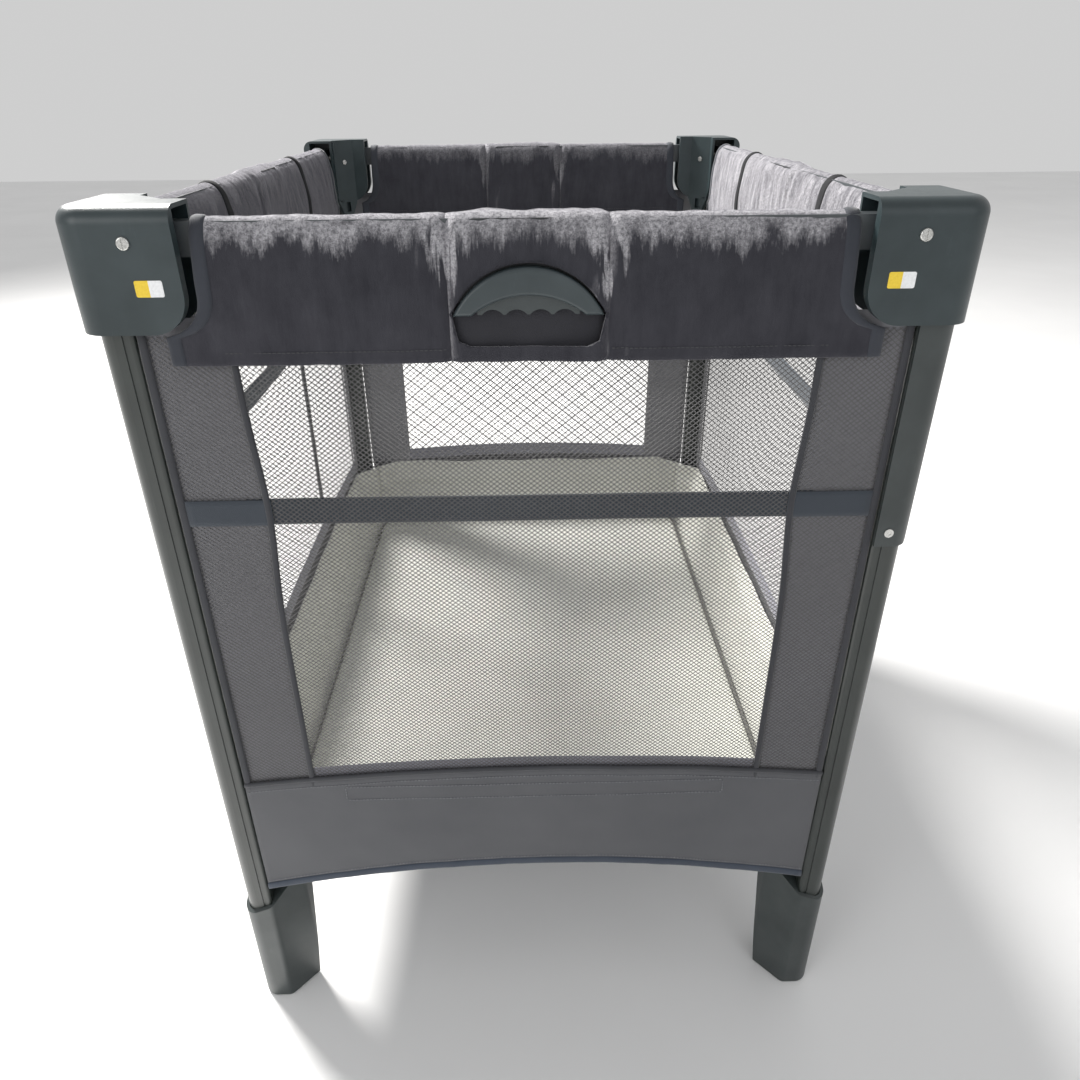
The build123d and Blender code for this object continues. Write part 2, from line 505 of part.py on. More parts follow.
# ---- the whole play yard ----
def build_nodes():
    """Every named piece of the play yard, in place."""
    nodes = {}
    corners = {"front_left": (-1, -1), "front_right": (1, -1), "back_left": (-1, 1), "back_right": (1, 1)}
    housing, leg, foot = make_housing(), make_leg(), make_foot()
    for name, (sx, sy) in corners.items():
        nodes[f"housing_{name}"] = in_corner(housing, sx, sy)
        nodes[f"leg_tube_{name}"] = in_corner(leg, sx, sy)
        nodes[f"foot_{name}"] = in_corner(foot, sx, sy)
        nodes[f"corner_bolts_{name}"] = in_corner(make_fasteners(name == "front_right"), sx, sy)
        nodes[f"floor_arm_{name}"] = make_arm(sx, sy)
    nodes["leg_sleeve_front_right"] = in_corner(make_sleeve(), 1, -1)
    halves = {"front": ("left", "right"), "right": ("front", "back"), "back": ("right", "left"),
              "left": ("back", "front")}
    for side, names in halves.items():
        short = side in ("front", "back")
        pivot = PIVOT_X if short else PIVOT_Y
        rail = Pos(0, 0, PIVOT_Z) * bar(LOCK_HALF, pivot, RAIL_HIGH, RAIL_THICK, RAIL_WALL)
        nodes[f"{side}_rail_{names[1]}"] = on_side(rail, side)
        nodes[f"{side}_rail_{names[0]}"] = on_side(mirror(rail, about=Plane.YZ), side)
        nodes[f"{side}_lock_housing"] = on_side(make_lock(short), side)
        nodes[f"{side}_lock_pins"] = on_side(make_lock_pins(), side)
        if short:
            nodes[f"{side}_crescent_grip"] = on_side(make_crescent(), side)
            nodes[f"{side}_trigger"] = on_side(make_trigger(), side)
        else:
            nodes[f"{side}_release_button"] = on_side(make_button(), side)
        end = (HOUSING_END_X if short else HOUSING_END_Y) - COVER_GAP
        nodes[f"{side}_rail_cover"] = on_side(make_cover(end, FLARE, short), side)
        wall_half = (LEG_IN_X if short else LEG_IN_Y) - 1
        nodes[f"{side}_wall"] = on_side(make_wall(wall_half), side)
    nodes["hub_base"] = make_hub_base()
    nodes["hub_cap"] = make_hub_cap()
    nodes["hub_pins"] = make_hub_pins()
    nodes["hub_pull_strap"] = make_hub_strap()
    nodes["mattress_pad"] = make_mattress()
    nodes["floor_fabric"] = make_floor_fabric()
    return nodes


os.makedirs("parts", exist_ok=True)
for node_name, solid in build_nodes().items():
    export_step(solid, f"parts/{node_name}.step")
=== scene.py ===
"""Looks of a folding travel play yard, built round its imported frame. Lengths are in metres."""
import json
import math

import bpy
import bmesh
import numpy as np
from mathutils import Matrix, Vector


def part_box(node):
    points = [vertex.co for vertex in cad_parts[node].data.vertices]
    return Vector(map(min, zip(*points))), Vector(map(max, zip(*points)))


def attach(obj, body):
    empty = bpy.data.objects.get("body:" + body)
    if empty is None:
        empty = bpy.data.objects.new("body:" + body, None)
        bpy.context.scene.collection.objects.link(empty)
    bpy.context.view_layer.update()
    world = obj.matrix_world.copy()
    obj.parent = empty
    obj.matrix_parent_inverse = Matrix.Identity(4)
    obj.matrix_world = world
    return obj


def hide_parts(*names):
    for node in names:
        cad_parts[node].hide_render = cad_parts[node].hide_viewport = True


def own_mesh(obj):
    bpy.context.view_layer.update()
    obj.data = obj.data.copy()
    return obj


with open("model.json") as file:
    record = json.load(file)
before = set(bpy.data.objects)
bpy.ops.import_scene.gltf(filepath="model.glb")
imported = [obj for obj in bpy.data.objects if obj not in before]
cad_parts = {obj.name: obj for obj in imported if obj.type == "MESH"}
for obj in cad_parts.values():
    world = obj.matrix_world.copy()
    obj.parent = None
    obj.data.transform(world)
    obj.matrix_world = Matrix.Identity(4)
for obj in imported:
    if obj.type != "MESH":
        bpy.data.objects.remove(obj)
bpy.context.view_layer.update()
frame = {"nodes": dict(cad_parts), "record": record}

MM = 0.001


# ---- places read from the frame ----
def middle(node):
    """Centre of a node's box."""
    low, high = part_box(node)
    return (low + high) / 2


RAIL_Y = abs(middle("front_rail_left").y)  # centre plane of the front and back rails
RAIL_X = abs(middle("left_rail_front").x)
LEG_IN_X = abs(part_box("leg_tube_front_left")[1].x)  # inner faces of the legs
LEG_IN_Y = abs(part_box("leg_tube_front_left")[1].y)
WALL_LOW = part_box("front_wall")[0].z
WALL_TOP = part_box("front_wall")[1].z
COVER_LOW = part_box("front_rail_cover")[0].z
COVER_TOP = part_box("front_rail_cover")[1].z
GRIP_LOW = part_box("front_crescent_grip")[0].z
PAD_LOW, PAD_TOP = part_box("mattress_pad")[0].z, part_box("mattress_pad")[1].z
PAD_X, PAD_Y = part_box("mattress_pad")[1].x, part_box("mattress_pad")[1].y
HOUSING_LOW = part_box("housing_front_left")[1].z - 0.080

# ---- the sides ----
SIDES = ("front", "right", "back", "left")
SHORT = ("front", "back")
END_OF = {"front": ("left", "right"), "right": ("front", "back"), "back": ("right", "left"),
          "left": ("back", "front")}  # names of the half rails at -s and +s
WALL_BODY = {"front": "leg_front_left", "left": "leg_front_left", "right": "leg_front_right",
             "back": "leg_back_left"}

# ---- driving sizes of the rail covers ----
FLAP_T = 15.5 * MM  # from the rail's centre plane to the middle of each flap
CROWN_Z = COVER_TOP - 1.4 * MM
CROWN_R = 14.5 * MM
HEM_OF_COVER = COVER_LOW + 1 * MM
COVER_THICK = 1.8 * MM
HUG_DROP = 1.9 * MM  # how much lower the crown is where it lies straight on the rail
HUG_IN = 0.34  # share by which it is narrower there
FLARE = 27 * MM  # how far the lower corners reach under the housings
HINGE = 34 * MM  # half of the piece that stays with the lock housing
BAND_AT, BAND_WIDE = 145 * MM, 13 * MM  # dark bands sewn round the covers of the long sides
CROWN_HIGHLIGHT_DEPTH = (13 * MM, 40 * MM)  # how far down the painted highlight along the covers' crown reaches
# softness of the lower edge of that painted crown highlight
CROWN_HIGHLIGHT_FADE = 14 * MM
SEAM_S = 53 * MM  # seams of the short sides' covers, on each side of the grip
SEAM_HIGHLIGHT_WIDE = 17 * MM  # how far from those seams the painted highlight streaks on the folds reach
# how far down the covers those painted highlight streaks reach
SEAM_HIGHLIGHT_DEPTH = 44 * MM

# ---- driving sizes of the walls, liner and pad ----
NET_T = -9.6 * MM  # the netting, from the rail's centre plane
NET_ACROSS, NET_UP = 4.6 * MM, 3.8 * MM  # size of one diamond of the netting
NET_YARN = 0.58 * MM
NET_THIN = 0.3 * MM
STRIP_IN = 201 * MM  # window edge on the short walls
LONG_STRIP = 22 * MM  # width of the corner strips on the long walls
STRAP_LOW, STRAP_HIGH = 570 * MM, 591 * MM
BAND_TOP = 302 * MM
BAND_BOW = 14 * MM
HEM_RISE = 28 * MM
POCKET = 0.655  # half length of the stitched pocket, as a share of the wall's half width
LINER_TOP = 300 * MM
PAD_ROUND = 30 * MM
PIPING_R = 1.5 * MM
PATCH_X, PATCH_Z = 244 * MM, 748 * MM  # centres of the warning patches
PATCH_WIDE, PATCH_TALL, PATCH_ROUND = 18 * MM, 10.5 * MM, 1.2 * MM

# ---- camera and light ----
CAMERA_AT = (-0.0041, -0.9401, 0.8599)
CAMERA_PITCH, CAMERA_YAW, CAMERA_ROLL = 0.5003, -0.0187, -0.0081  # radians, pitch below level
CAMERA_LENS, CAMERA_FILM = 27.57, 36
WORLD_LIGHT = 0.62
LAMPS = (("key", (-1.7, 1.5, 2.6), 0.9, 300, (1.0, 0.98, 0.95)),
         ("fill", (1.6, -3.0, 2.0), 2.4, 10, (0.93, 0.96, 1)),
         ("front", (-1.8, -2.2, 1.5), 1.4, 14, (1, 1, 1)))  # name, place, size, power, colour


def on_side(side, points):
    """Points (along, outward negative, up) about a rail's centre plane, moved to one of the four sides."""
    p = np.asarray(points, float)
    s, t, z = p[..., 0], p[..., 1], p[..., 2]
    if side == "front":
        return np.stack([s, t - RAIL_Y, z], -1)
    if side == "right":
        return np.stack([RAIL_X - t, s, z], -1)
    if side == "back":
        return np.stack([-s, RAIL_Y - t, z], -1)
    return np.stack([t - RAIL_X, -s, z], -1)


def turn_only(side, vectors):
    """Directions turned to a side, without its place."""
    return on_side(side, vectors) - on_side(side, np.zeros_like(vectors))


# ---- materials ----
class Nodes:
    """A material's node tree, with short calls that add and link nodes."""

    def __init__(self, name):
        self.material = bpy.data.materials.new(name)
        self.material.use_nodes = True
        self.tree = self.material.node_tree
        self.shader = self.tree.nodes["Principled BSDF"]
        self.place = self.add("ShaderNodeTexCoord").outputs["Object"]

    def add(self, kind, inputs=None, **settings):
        node = self.tree.nodes.new(kind)
        for key, value in settings.items():
            setattr(node, key, value)
        for key, value in (inputs or {}).items():
            if isinstance(value, bpy.types.NodeSocket):
                self.tree.links.new(value, node.inputs[key])
            else:
                node.inputs[key].default_value = value
        return node

    def axes(self, vector):
        """A vector's X, Y and Z outputs."""
        return self.add("ShaderNodeSeparateXYZ", {"Vector": vector}).outputs

    def noise(self, scale, detail=4.0, roughness=0.6, stretch=None):
        vector = self.place
        if stretch:
            mapped = self.add("ShaderNodeMapping", {"Vector": vector, "Scale": stretch})
            vector = mapped.outputs["Vector"]
        made = self.add("ShaderNodeTexNoise", {"Vector": vector, "Scale": scale, "Detail": detail,
                                               "Roughness": roughness})
        return made.outputs["Fac"]

    def maths(self, operation, a, b=0.0):
        node = self.add("ShaderNodeMath", operation=operation)
        for slot, value in ((0, a), (1, b)):
            if isinstance(value, bpy.types.NodeSocket):
                self.tree.links.new(value, node.inputs[slot])
            else:
                node.inputs[slot].default_value = value
        return node.outputs[0]

    def ramp(self, value, low, high, start=0.3, end=0.7):
        """Colour between low and high as value goes from start to end."""
        node = self.add("ShaderNodeValToRGB", {"Fac": value})
        first, last = node.color_ramp.elements
        first.position, last.position = start, end
        first.color, last.color = (*low, 1), (*high, 1)
        return node.outputs["Color"]

    def mix(self, factor, a, b, blend="MIX"):
        node = self.add("ShaderNodeMix", data_type="RGBA", blend_type=blend)
        for slot, value in ((0, factor), (6, a), (7, b)):
            if isinstance(value, bpy.types.NodeSocket):
                self.tree.links.new(value, node.inputs[slot])
            elif slot == 0:
                node.inputs[slot].default_value = value
            else:
                node.inputs[slot].default_value = (*value, 1)
        return node.outputs[2]

    def span(self, value, low, high):
        """A number between low and high as value goes from 0 to 1."""
        return self.maths("ADD", self.maths("MULTIPLY", value, high - low), low)

    def bump(self, height, depth, strength=1.0):
        made = self.add("ShaderNodeBump", {"Height": height, "Distance": depth, "Strength": strength})
        self.link(made.outputs["Normal"], "Normal")

    def link(self, output, name):
        self.tree.links.new(output, self.shader.inputs[name])

    def fix(self, **values):
        for name, value in values.items():
            self.shader.inputs[name.replace("_", " ")].default_value = value


def plastic(name, low, high, rough=(0.34, 0.5), grain=2600.0):
    """Moulded plastic: fine spark-eroded grain, faint flow marks and scuffs."""
    n = Nodes(name)
    cloud = n.noise(22.0, 5.0)
    scuffs = n.noise(90.0, 8.0, 0.75, (1.0, 1.0, 0.25))
    colour = n.ramp(cloud, low, high, 0.35, 0.68)
    worn = n.ramp(scuffs, (0, 0, 0), (1, 1, 1), 0.62, 0.8)
    lighter = tuple(min(1, c * 1.7 + 0.012) for c in high)
    n.link(n.mix(n.maths("MULTIPLY", worn, 0.45), colour, lighter), "Base Color")
    n.link(n.span(scuffs, *rough), "Roughness")
    n.bump(n.maths("ADD", n.noise(grain, 2.0), n.maths("MULTIPLY", cloud, 0.6)), 0.00006)
    n.fix(Specular_IOR_Level=0.5, Coat_Weight=0.12, Coat_Roughness=0.35)
    return n.material


def paint(name, low, high):
    """Powder-coated tube: orange-peel grain and rubs that run along its length."""
    n = Nodes(name)
    rubs = n.noise(140.0, 6.0, 0.7, (1.0, 1.0, 0.06))
    cloud = n.noise(14.0, 4.0)
    colour = n.ramp(cloud, low, high)
    worn = n.ramp(rubs, (0, 0, 0), (1, 1, 1), 0.6, 0.78)
    lighter = tuple(c * 2.2 + 0.01 for c in high)
    n.link(n.mix(n.maths("MULTIPLY", worn, 0.4), colour, lighter), "Base Color")
    n.link(n.span(rubs, 0.27, 0.46), "Roughness")
    n.bump(n.noise(1500.0, 2.0), 0.00005)
    n.fix(Coat_Weight=0.25, Coat_Roughness=0.25)
    return n.material


def steel(name):
    """Zinc-plated steel with fine turning marks."""
    n = Nodes(name)
    marks = n.noise(900.0, 5.0, 0.7)
    n.link(n.ramp(marks, (0.42, 0.42, 0.4), (0.75, 0.75, 0.73)), "Base Color")
    n.link(n.span(marks, 0.18, 0.38), "Roughness")
    n.bump(marks, 0.00003)
    n.fix(Metallic=1.0)
    return n.material


def velour(name, low, high, highlight_colour):
    """Short-pile velour: patches where the pile lies different ways, pile grain, and a pale painted highlight
    along the crown, on the folds beside the seams and on faces turned up or towards -X.
    """
    n = Nodes(name)
    patches = n.noise(26.0, 6.0, 0.65)
    streaks = n.noise(120.0, 5.0, 0.7, (1.0, 1.0, 0.22))
    pile = n.noise(1900.0, 3.0, 0.8)
    mixed = n.maths("ADD", n.maths("MULTIPLY", patches, 0.55), n.maths("MULTIPLY", streaks, 0.45))
    colour = n.ramp(mixed, low, high, 0.36, 0.66)
    normal = n.axes(n.add("ShaderNodeNewGeometry").outputs["Normal"])
    at = n.axes(n.place)
    # Painted highlight along the crown: it reaches a ragged depth down the flaps, deeper in streaks beside
    # the seams.
    ragged = n.ramp(n.noise(46.0, 9.0, 0.8, (1.0, 1.0, 0.1)), (0, 0, 0), (1, 1, 1), 0.4, 0.74)
    beside = n.maths("ABSOLUTE", n.maths("SUBTRACT", n.maths("ABSOLUTE", at["X"]), SEAM_S))
    seam_highlight = n.ramp(n.noise(150.0, 3.0, 0.6, (1.0, 1.0, 0.06)), (0, 0, 0), (1, 1, 1), 0.4, 0.62)
    close = n.ramp(n.maths("DIVIDE", beside, SEAM_HIGHLIGHT_WIDE), (1, 1, 1), (0, 0, 0), 0.1, 1.0)
    seam_highlight = n.maths("MULTIPLY", close, seam_highlight)
    reach = n.maths("ADD", n.span(ragged, *CROWN_HIGHLIGHT_DEPTH), n.maths("MULTIPLY", seam_highlight, SEAM_HIGHLIGHT_DEPTH))
    below = n.maths("SUBTRACT", COVER_TOP, at["Z"])
    crown = n.maths("DIVIDE", n.maths("SUBTRACT", reach, below), CROWN_HIGHLIGHT_FADE)
    crown = n.ramp(crown, (0, 0, 0), (1, 1, 1), 0.0, 1.0)
    # Painted shade: the crown highlight is weaker on faces turned in towards the middle.
    away_x, away_y = n.maths("MULTIPLY", at["X"], normal["X"]), n.maths("MULTIPLY", at["Y"], normal["Y"])
    away = n.maths("ADD", away_x, away_y)
    crown = n.maths("MULTIPLY", crown, n.ramp(away, (0.3, 0.3, 0.3), (1, 1, 1), 0.02, 0.1))
    # Painted highlight on faces turned up or towards -X, the side the key light comes from, broken into
    # streaks.
    facing_light = n.maths("SUBTRACT", n.maths("MULTIPLY", normal["Z"], 0.5), normal["X"])
    streaked_highlight = n.ramp(streaks, (0.25, 0.25, 0.25), (1, 1, 1), 0.36, 0.64)
    lit = n.maths("MULTIPLY", n.ramp(facing_light, (0, 0, 0), (1, 1, 1), 0.27, 0.8), streaked_highlight)
    # The painted highlights are broken into small tufts.
    highlight_tufts = n.ramp(n.noise(430.0, 5.0, 0.85), (0.18, 0.18, 0.18), (1, 1, 1), 0.36, 0.62)
    light = n.maths("MULTIPLY", n.maths("MAXIMUM", crown, n.maths("MULTIPLY", lit, 0.85)), highlight_tufts)
    # The pale colour mixed in here is the painted highlight.
    colour = n.mix(light, colour, highlight_colour)
    colour = n.mix(n.span(pile, 0.0, 0.35), colour, tuple(c * 0.55 for c in low))
    n.link(colour, "Base Color")
    n.bump(n.maths("ADD", pile, n.maths("MULTIPLY", streaks, 1.2)), 0.0005)
    n.fix(Roughness=0.92, Sheen_Weight=0.4, Sheen_Roughness=0.35, Specular_IOR_Level=0.15)
    n.shader.inputs["Sheen Tint"].default_value = (0.8, 0.78, 0.85, 1)
    return n.material


def woven(name, low, high, pitch, depth, sheen=0.25, rough=0.8, along=(1, 1, 1)):
    """Plain woven cloth: crossed yarns, slubs and a slow change of tone."""
    n = Nodes(name)
    mapped = n.add("ShaderNodeMapping", {"Vector": n.place, "Scale": along}).outputs["Vector"]
    axes = n.axes(mapped)
    turn = 2 * math.pi / pitch
    level = n.maths("ADD", n.maths("MULTIPLY", axes["X"], turn), n.maths("MULTIPLY", axes["Y"], turn))
    across = n.maths("SINE", level)
    upright = n.maths("SINE", n.maths("MULTIPLY", axes["Z"], turn))
    weave = n.span(n.maths("MULTIPLY", across, upright), 0.5, 1.0)
    slubs = n.noise(300.0, 3.0, 0.6)
    tone = n.noise(9.0, 4.0, 0.55)
    mixed = n.maths("ADD", n.maths("MULTIPLY", tone, 0.7), n.maths("MULTIPLY", slubs, 0.3))
    colour = n.ramp(mixed, low, high)
    shade = n.mix(n.span(weave, 0.0, 0.28), colour, tuple(c * 0.5 for c in low))
    n.link(shade, "Base Color")
    n.link(n.span(slubs, rough - 0.1, min(1.0, rough + 0.12)), "Roughness")
    n.bump(n.maths("ADD", weave, n.maths("MULTIPLY", slubs, 0.5)), depth)
    n.fix(Sheen_Weight=sheen, Sheen_Roughness=0.45, Specular_IOR_Level=0.25)
    return n.material


def thread(name, low, high):
    """Netting yarn or sewing thread."""
    n = Nodes(name)
    tone = n.noise(240.0, 4.0)
    n.link(n.ramp(tone, low, high), "Base Color")
    n.link(n.span(tone, 0.5, 0.75), "Roughness")
    n.bump(n.noise(4200.0, 2.0), 0.00008)
    n.fix(Sheen_Weight=0.2, Sheen_Roughness=0.4)
    return n.material


def label(name):
    """Plain two-tone printed patch: yellow on one half, white on the other."""
    n = Nodes(name)
    half = n.add("ShaderNodeTexCoord").outputs["Generated"]
    left = n.axes(half)["X"]
    print_grain = n.noise(700.0, 3.0)
    yellow = n.ramp(print_grain, (0.72, 0.5, 0.03), (0.82, 0.6, 0.05))
    white = n.ramp(print_grain, (0.7, 0.71, 0.72), (0.82, 0.83, 0.84))
    n.link(n.mix(n.maths("GREATER_THAN", left, 0.5), yellow, white), "Base Color")
    n.link(n.span(print_grain, 0.3, 0.45), "Roughness")
    return n.material


MATERIALS = {
    "housing_plastic": plastic("housing_plastic", (0.016, 0.027, 0.03), (0.028, 0.042, 0.046), (0.26, 0.44)),
    "foot_plastic": plastic("foot_plastic", (0.026, 0.033, 0.033), (0.042, 0.051, 0.051)),
    "grip_plastic": plastic("grip_plastic", (0.026, 0.037, 0.041), (0.04, 0.054, 0.059), (0.28, 0.44)),
    "trigger_plastic": plastic("trigger_plastic", (0.03, 0.038, 0.04), (0.044, 0.054, 0.056)),
    "lock_plastic": plastic("lock_plastic", (0.014, 0.016, 0.018), (0.024, 0.027, 0.03), (0.45, 0.6)),
    "leg_paint": paint("leg_paint", (0.016, 0.02, 0.018), (0.028, 0.034, 0.031)),
    "rail_paint": paint("rail_paint", (0.04, 0.046, 0.05), (0.062, 0.07, 0.076)),
    "bolt_steel": steel("bolt_steel"),
}
# The third colour of the covers' velour is the pale painted highlight of their crowns and folds.
VELOUR = velour("cover_velour", (0.034, 0.034, 0.042), (0.058, 0.058, 0.069), (0.58, 0.57, 0.6))
# Backing cloth under the grips, darker than the covers as painted shade of the recess.
SHADED_BACKING = woven("backing_cloth_painted_shade", (0.022, 0.022, 0.027), (0.036, 0.036, 0.043), 0.0012, 0.0001)
BINDING = woven("dark_binding", (0.03, 0.033, 0.042), (0.05, 0.055, 0.068), 0.0011, 0.0001)
BLACK_BAND = woven("black_band", (0.008, 0.008, 0.01), (0.014, 0.015, 0.017), 0.0011, 0.0001, 0.0, 0.85)
EDGE = woven("edge_binding", (0.036, 0.037, 0.042), (0.056, 0.058, 0.066), 0.0011, 0.0001)
BAND = woven("band_cloth", (0.084, 0.086, 0.094), (0.112, 0.114, 0.122), 0.0009, 0.00009)
STRIP = woven("strip_cloth", (0.2, 0.2, 0.216), (0.255, 0.255, 0.275), 0.0012, 0.0001)
STRAP = woven("strap_webbing", (0.038, 0.046, 0.058), (0.056, 0.066, 0.08), 0.0013, 0.00016)
HEM = woven("hem_binding", (0.04, 0.05, 0.07), (0.062, 0.075, 0.1), 0.0011, 0.0001)
INNER_BAND = woven("inner_band", (0.2, 0.2, 0.235), (0.27, 0.27, 0.31), 0.0011, 0.0001)
CREAM = woven("liner_cloth", (0.62, 0.62, 0.57), (0.76, 0.76, 0.7), 0.0014, 0.00009, 0.15, 0.75)
PAD_CLOTH = woven("pad_cloth", (0.66, 0.67, 0.62), (0.8, 0.8, 0.75), 0.0016, 0.0001, 0.15, 0.75, (1, -1, 1))
# The piping's dark grey-brown is partly its own colour and partly painted shade of the gap between pad and
# liner.
SEAM_PIPING_AND_SHADE = woven("seam_piping_and_shade", (0.1, 0.097, 0.085), (0.17, 0.165, 0.15), 0.0012, 0.0001)
NET = thread("net_yarn", (0.07, 0.068, 0.07), (0.12, 0.118, 0.12))
STITCH = thread("sewing_thread", (0.1, 0.105, 0.12), (0.2, 0.205, 0.22))
DARK_STITCH = thread("dark_thread", (0.022, 0.023, 0.028), (0.04, 0.041, 0.048))
CREAM_STITCH = thread("cream_thread", (0.5, 0.49, 0.44), (0.7, 0.69, 0.63))
LABEL = label("patch_print")


def slot_of(node):
    """The record's material slot of a CAD node."""
    return next(s["material_slot"] for s in frame["record"]["subparts"] if s["node"] == node)


for node_name, node_object in frame["nodes"].items():
    finish = MATERIALS.get(slot_of(node_name))
    if finish:
        node_object.data.materials.clear()
        node_object.data.materials.append(finish)


# ---- mesh helpers ----
def make_piece(name, points, faces, material, smooth=True):
    """A mesh object from points in the row frame."""
    mesh = bpy.data.meshes.new(name)
    mesh.from_pydata([tuple(p) for p in points], [], [tuple(f) for f in faces])
    mesh.validate()
    mesh.update()
    for face in mesh.polygons:
        face.use_smooth = smooth
    mesh.materials.append(material)
    piece = bpy.data.objects.new(name, mesh)
    bpy.context.collection.objects.link(piece)
    return piece


def outward(piece):
    """Turns all the faces of a closed mesh outward."""
    b = bmesh.new()
    b.from_mesh(piece.data)
    bmesh.ops.recalc_face_normals(b, faces=b.faces)
    b.to_mesh(piece.data)
    b.free()
    return piece


def settle(piece):
    """Applies a piece's modifiers."""
    bpy.context.view_layer.update()
    ready = piece.evaluated_get(bpy.context.evaluated_depsgraph_get())
    old = piece.data
    piece.data = bpy.data.meshes.new_from_object(ready)
    piece.modifiers.clear()
    bpy.data.meshes.remove(old)
    return piece


def grid_faces(rows, columns, first=0, closed=False):
    """Quads over a grid of points, row by row."""
    quads = []
    for i in range(rows - 1):
        for j in range(columns if closed else columns - 1):
            k = (j + 1) % columns
            a, b = first + i * columns + j, first + i * columns + k
            quads.append((a, b, b + columns, a + columns))
    return quads


def surface_normals(grid):
    """Unit normals of a grid of points."""
    along = np.gradient(grid, axis=0)
    across = np.gradient(grid, axis=1)
    normal = np.cross(along, across)
    return normal / np.maximum(np.linalg.norm(normal, axis=-1, keepdims=True), 1e-12)


def thick_sheet(name, grid, thickness, material):
    """A closed thin sheet over a grid of points, with softly rounded rims."""
    rows, columns, _ = grid.shape
    normal = surface_normals(grid)
    outer, inner = grid + normal * thickness / 2, grid - normal * thickness / 2
    points = np.concatenate([outer.reshape(-1, 3), inner.reshape(-1, 3)])
    count = rows * columns
    faces = grid_faces(rows, columns) + [f[::-1] for f in grid_faces(rows, columns, count)]
    ring = [(0, j) for j in range(columns)] + [(i, columns - 1) for i in range(1, rows)]
    ring += [(rows - 1, j) for j in range(columns - 2, -1, -1)] + [(i, 0) for i in range(rows - 2, 0, -1)]
    index = [i * columns + j for i, j in ring]
    rim = grid.reshape(-1, 3)[index]
    centre = np.roll(rim, 1, 0) - np.roll(rim, -1, 0)
    away = np.cross(centre, normal.reshape(-1, 3)[index])
    away /= np.maximum(np.linalg.norm(away, axis=-1, keepdims=True), 1e-12)
    inside = grid.reshape(-1, 3).mean(0)
    if ((rim - inside) * away).sum() < 0:
        away = -away
    points = np.concatenate([points, rim + away * thickness * 0.35])
    total = len(index)
    for k in range(total):
        m = (k + 1) % total
        faces.append((index[k], 2 * count + k, 2 * count + m, index[m]))
        faces.append((2 * count + k, index[k] + count, index[m] + count, 2 * count + m))
    return outward(make_piece(name, points, faces, material))


def prisms(name, starts, ends, ups, width, height, material):
    """Many separate thin square bars from starts to ends, in one mesh. ups is each bar's height direction."""
    starts, ends, ups = (np.asarray(v, float) for v in (starts, ends, ups))
    way = ends - starts
    way /= np.maximum(np.linalg.norm(way, axis=1, keepdims=True), 1e-12)
    side = np.cross(way, ups)
    corners = []
    for at in (starts, ends):
        for a, b in ((-1, -1), (1, -1), (1, 1), (-1, 1)):
            corners.append(at + side * a * width / 2 + ups * b * height / 2)
    points = np.stack(corners, 1).reshape(-1, 3)
    faces = []
    for n in range(len(starts)):
        k = 8 * n
        faces += [(k, k + 3, k + 2, k + 1), (k + 4, k + 5, k + 6, k + 7)]
        for m in range(4):
            faces.append((k + m, k + (m + 1) % 4, k + 4 + (m + 1) % 4, k + 4 + m))
    return make_piece(name, points, faces, material, False)


def stitch_line(points, ups, pitch=3.2 * MM, fill=0.62, sink=0.0):
    """Starts, ends and directions of the stitches along a line of points."""
    points, ups = np.asarray(points, float), np.asarray(ups, float)
    steps = np.linalg.norm(np.diff(points, axis=0), axis=1)
    reach = np.concatenate([[0], np.cumsum(steps)])
    at = np.arange(pitch / 2, reach[-1] - pitch * fill, pitch)

    def along(distance):
        return np.stack([np.interp(distance, reach, points[:, k]) for k in range(3)], 1)

    lift = np.stack([np.interp(at, reach, ups[:, k]) for k in range(3)], 1)
    lift /= np.maximum(np.linalg.norm(lift, axis=1, keepdims=True), 1e-12)
    return along(at) - lift * sink, along(at + pitch * fill) - lift * sink, lift


def stitches(name, lines, material, width=0.75 * MM, height=0.6 * MM):
    """One mesh of stitches from several lines of (points, ups)."""
    made = [stitch_line(points, ups) for points, ups in lines]
    starts, ends, ups = (np.concatenate([m[k] for m in made]) for k in range(3))
    return prisms(name, starts, ends, ups, width, height, material)


def waves(seed, u, v, size, count=9, stretch=1.0):
    """Smooth uneven ripple between about -1 and 1, from crossed sine waves about one size long."""
    rng = np.random.default_rng(seed)
    total = np.zeros(np.broadcast(u, v).shape)
    for _ in range(count):
        angle, phase = rng.uniform(0, math.pi), rng.uniform(0, 2 * math.pi)
        long = size * rng.uniform(0.6, 1.7)
        total += np.sin((u * math.cos(angle) + v * math.sin(angle) * stretch) * 2 * math.pi / long + phase)
    return total / math.sqrt(count * 2)


def soft_step(x, low, high):
    """0 below low, 1 above high, smooth between."""
    t = np.clip((x - low) / (high - low), 0, 1)
    return t * t * (3 - 2 * t)


# ---- rail covers ----

def cover_half(side):
    """From a cover's centre to its ends, at its top."""
    low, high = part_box(f"{side}_rail_cover")
    long = (high.x - low.x) if side in SHORT else (high.y - low.y)
    return long / 2 - FLARE


def girth(count):
    """The cross-section from the outer hem over the crown to the inner hem: (across, up) pairs."""
    shoulder = CROWN_Z - CROWN_R
    flap = np.linspace(HEM_OF_COVER, shoulder, count)
    outer = np.stack([np.full(count, -FLAP_T), flap], 1)
    angles = np.linspace(math.pi, 0, count // 2 + 2)[1:-1]
    crown = np.stack([FLAP_T * np.cos(angles), shoulder + CROWN_R * np.sin(angles)], 1)
    inner = outer[::-1] * np.array([-1, 1])
    return np.concatenate([outer, crown, inner])


